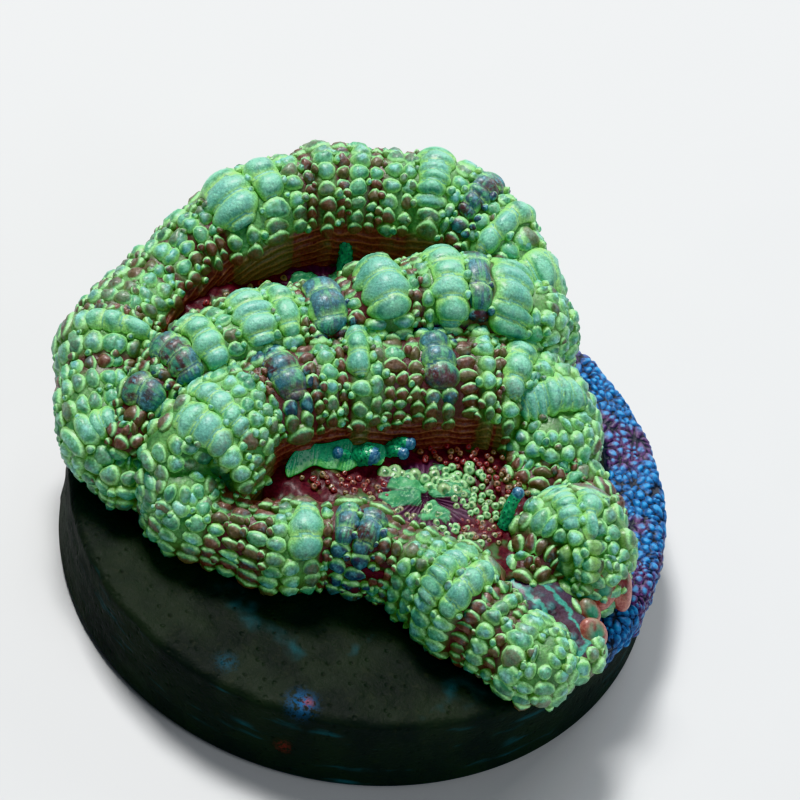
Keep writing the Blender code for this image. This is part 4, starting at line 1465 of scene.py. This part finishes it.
def add_plug(shape):
    """Adds the plug: a rounded section turned about Z, roughened by smooth noise but flat underneath."""
    r, top, edge = PLUG_RADIUS, PLUG_TOP, PLUG_EDGE
    bend = np.radians(np.linspace(0, 90, 7))
    low = np.stack([r - edge + edge * np.sin(bend), edge - edge * np.cos(bend)], axis=1)
    high = np.stack([r - edge + edge * np.cos(bend), top - edge + edge * np.sin(bend)], axis=1)
    wall = np.stack([np.full(16, r), np.linspace(edge, top - edge, 18)[1:-1]], axis=1)
    underside = np.stack([np.linspace(0, r - edge, 12)[:-1], np.zeros(11)], axis=1)
    face = np.stack([np.linspace(r - edge, 0, 60)[1:], np.full(59, top)], axis=1)
    section = np.vstack([underside, low, wall, high, face])
    radius, height = section[:, :1], section[:, 1:]
    points = round_plug(full_turn(PLUG_SEGMENTS), radius, height)
    rough = 0.05 * bumps(points, 1.9, 31) + 0.025 * bumps(points, 0.8, 32) - 0.05
    inward = smoothstep(0.3, 1.0, points[..., 2]) * rough
    points[..., :2] *= (1 + inward / np.maximum(radius, 1.0))[..., None]
    points[..., 2] += np.where(points[..., 2] > top - 0.3, rough, 0)
    shape.grid(points, close_v=True, flip=True)


# The crust's arc round the plug in degrees, its inner edge, its nodules, how many points it is drawn with,
# the length and radius of its bend over the plug's edge, and how far its back lies inside the plug
CRUST_ARC = (-34, 60)
CRUST_INNER = 13.2
CRUST_NODULES = 620
CRUST_GRID = (340, 84)
CRUST_BEND = 0.8
CRUST_BEND_RADIUS = 0.51
CRUST_BACK = 0.12


class CORAL_OT_crust(bpy.types.Operator):
    """Lumpy coralline algae over the right of the plug's top and rim"""

    bl_idname = "coral.crust"
    bl_label = "Crust"

    def execute(self, context):
        shape = Shape()
        add_crust(shape)
        finish_piece(shape.build("coralline_algae", 0.002), "coralline", crust_finish(), "coralline_crust")
        return {"FINISHED"}


def add_crust(shape):
    """Adds the crust: a sheet over the plug's top, rim and wall, swollen round scattered nodule middles.

    A point's height is a dome of its distance to the nearest nodule middle, as a share of the distance to
    the second nearest, so the nodules meet in sharp gaps."""
    nu, nv = CRUST_GRID
    share, down = np.meshgrid(np.linspace(0, 1, nu), np.linspace(0, 1, nv), indexing="ij")
    angle = np.radians(CRUST_ARC[0] + (CRUST_ARC[1] - CRUST_ARC[0]) * share)
    fade = np.minimum(1, np.minimum(share, 1 - share) * 9)
    inner = CRUST_INNER + 0.2 * np.sin(share * 21)
    flat = PLUG_RADIUS - 0.55 - inner
    skirt = 0.4 + 1.6 * np.sin(math.pi * share) ** 0.6 + 0.25 * np.sin(share * 37)
    length = flat + CRUST_BEND + skirt
    run = down * length
    on_top = np.clip(run, 0, flat)
    turned = np.clip(run - flat, 0, CRUST_BEND) / CRUST_BEND * math.pi / 2
    on_wall = np.clip(run - flat - CRUST_BEND, 0, None)
    out_r, out_z = np.sin(turned), np.cos(turned)
    radius = inner + on_top + CRUST_BEND_RADIUS * out_r
    height = PLUG_TOP - CRUST_BEND_RADIUS * (1 - out_z) - on_wall
    rng = np.random.default_rng(77)
    sheet = np.stack([angle * PLUG_RADIUS, run], axis=-1).reshape(-1, 2)
    round_it = rng.uniform(*np.radians(CRUST_ARC), CRUST_NODULES) * PLUG_RADIUS
    middles = np.stack([round_it, rng.uniform(0, length.max(), CRUST_NODULES)], axis=1)
    nearest = np.full((len(sheet), 2), 1e9)
    for middle in middles:
        gap = np.hypot(*(sheet - middle).T * [[0.8], [1.0]])
        closer = gap < nearest[:, 0]
        nearest[:, 1] = np.where(closer, nearest[:, 0], np.minimum(nearest[:, 1], gap))
        nearest[:, 0] = np.minimum(nearest[:, 0], gap)
    ratio = (nearest[:, 0] / np.maximum(nearest[:, 1], 1e-6)).reshape(nu, nv)
    dome = np.sqrt(np.clip(1 - ratio**2, 0, 1))
    edge = fade * smoothstep(0, 0.06, down) * (1 - smoothstep(0.94, 1.0, down))
    spots = round_plug(angle, radius, height)
    swell = edge * (0.06 + 0.34 * dome * (0.75 + 0.25 * bumps(spots, 2.4, 12)))
    outer = round_plug(angle, radius + swell * out_r, height + swell * out_z)
    back = round_plug(angle, radius - CRUST_BACK * out_r, height - CRUST_BACK * out_z)
    patch = 0.5 + 0.5 * bumps(spots, 7.0, 44)
    zone = np.stack([dome * edge, patch, 0 * patch], axis=-1)
    rings = np.concatenate([outer, back[:, ::-1]], axis=1)
    shape.tube(rings, zone=np.concatenate([zone, 0 * zone], axis=1))


# The photograph's camera: its height above the horizon, its tilt about the line of sight, how large a
# millimetre is at the plug's top, and where the middle of the plug's top falls in the 800 pixel picture
VIEW_ELEVATION = math.radians(49.4)
VIEW_ROLL = math.radians(12.3)
PICTURE = 800
PIXELS_PER_MM = 18.75
PLUG_PIXEL = (367, 487)
CAMERA_DISTANCE = 400.0
SENSOR_WIDTH = 36.0


def make_camera():
    """The camera, placed so that the plug's top falls where it does in the photograph."""
    right = Vector((1, 0, 0))
    up = Vector((0, math.sin(VIEW_ELEVATION), math.cos(VIEW_ELEVATION)))
    back = Vector((0, -math.cos(VIEW_ELEVATION), math.sin(VIEW_ELEVATION)))
    cos, sin = math.cos(VIEW_ROLL), math.sin(VIEW_ROLL)
    dx, dy = PICTURE / 2 - PLUG_PIXEL[0], PICTURE / 2 - PLUG_PIXEL[1]
    aim = Vector((0, 0, PLUG_TOP))
    aim += right * (cos * dx + sin * dy) / PIXELS_PER_MM + up * (sin * dx - cos * dy) / PIXELS_PER_MM
    turn = Matrix((cos * right + sin * up, cos * up - sin * right, back)).transposed().to_4x4()
    turn.translation = (aim + back * CAMERA_DISTANCE) * MM
    data = bpy.data.cameras.new("photo_camera")
    data.sensor_width = SENSOR_WIDTH
    data.lens = SENSOR_WIDTH * CAMERA_DISTANCE * PIXELS_PER_MM / PICTURE
    data.clip_start = 0.01
    data.clip_end = 10
    camera = bpy.data.objects.new("photo_camera", data)
    camera.matrix_world = turn
    bpy.context.scene.collection.objects.link(camera)
    bpy.context.scene.camera = camera


def make_floor():
    """A pale floor that rises into a backdrop far behind: a straight run, a quarter circle and a wall."""
    bend = np.radians(np.linspace(0, 90, 16))
    run = np.concatenate([[-900], 700 + 200 * np.sin(bend), [900]])
    rise = np.concatenate([[0], 200 - 200 * np.cos(bend), [900]])
    across = np.linspace(-1200, 1200, 3)
    shape = Shape()
    shape.grid(np.stack(np.broadcast_arrays(across[:, None], run, rise), axis=-1))
    floor = shape.build("studio_floor")
    floor.data.materials.append(floor_finish())


# Soft lights: place in millimetres, size in millimetres, power in watts, colour
LIGHTS = [
    ("key", (-100, 130, 330), 100, 1.75, (1.0, 0.99, 0.97)),
    ("fill", (230, -190, 210), 260, 0.44, (0.93, 0.97, 1.0)),
    ("rim", (90, 300, 180), 200, 0.6, (0.95, 0.98, 1.0)),
]


def make_lights():
    """Three square soft lights aimed at the colony, and an even pale sky."""
    for name, place, size, power, colour in LIGHTS:
        data = bpy.data.lights.new(name, "AREA")
        data.size = size * MM
        data.energy = power
        data.color = colour
        light = bpy.data.objects.new(name, data)
        light.location = Vector(place) * MM
        light.rotation_euler = (Vector((0, 0, 8)) - Vector(place)).to_track_quat("-Z", "Y").to_euler()
        bpy.context.scene.collection.objects.link(light)
    world = bpy.data.worlds.new("studio")
    world.use_nodes = True
    sky = world.node_tree.nodes["Background"]
    sky.inputs["Color"].default_value = (0.82, 0.86, 0.9, 1)
    sky.inputs["Strength"].default_value = 0.18
    bpy.context.scene.world = world
    bpy.context.scene.view_settings.view_transform = "Khronos PBR Neutral"


STEPS = (CORAL_OT_stage, CORAL_OT_flesh, CORAL_OT_blisters, CORAL_OT_mouths, CORAL_OT_plug, CORAL_OT_crust)


class CORAL_PT_panel(bpy.types.Panel):
    """Buttons for each group of pieces, and their sizes and colours"""

    bl_idname = "CORAL_PT_panel"
    bl_label = "Acan coral frag"
    bl_space_type = "VIEW_3D"
    bl_region_type = "UI"
    bl_category = "Coral"

    def draw(self, context):
        for step in STEPS:
            self.layout.operator(step.bl_idname)
        for group in (context.scene.coral_sizes, context.scene.coral_colours):
            for key in group.__annotations__:
                self.layout.prop(group, key)


CLASSES = (CoralSizes, CoralColours, *STEPS, CORAL_PT_panel)


def register():
    for each in CLASSES:
        bpy.utils.register_class(each)
    bpy.types.Scene.coral_sizes = bpy.props.PointerProperty(type=CoralSizes)
    bpy.types.Scene.coral_colours = bpy.props.PointerProperty(type=CoralColours)


def unregister():
    del bpy.types.Scene.coral_colours
    del bpy.types.Scene.coral_sizes
    for each in reversed(CLASSES):
        bpy.utils.unregister_class(each)


def main():
    register()
    bpy.ops.coral.stage()
    bpy.ops.coral.flesh()
    bpy.ops.coral.blisters()
    bpy.ops.coral.mouths()
    bpy.ops.coral.plug()
    bpy.ops.coral.crust()


if __name__ == "__main__":
    main()
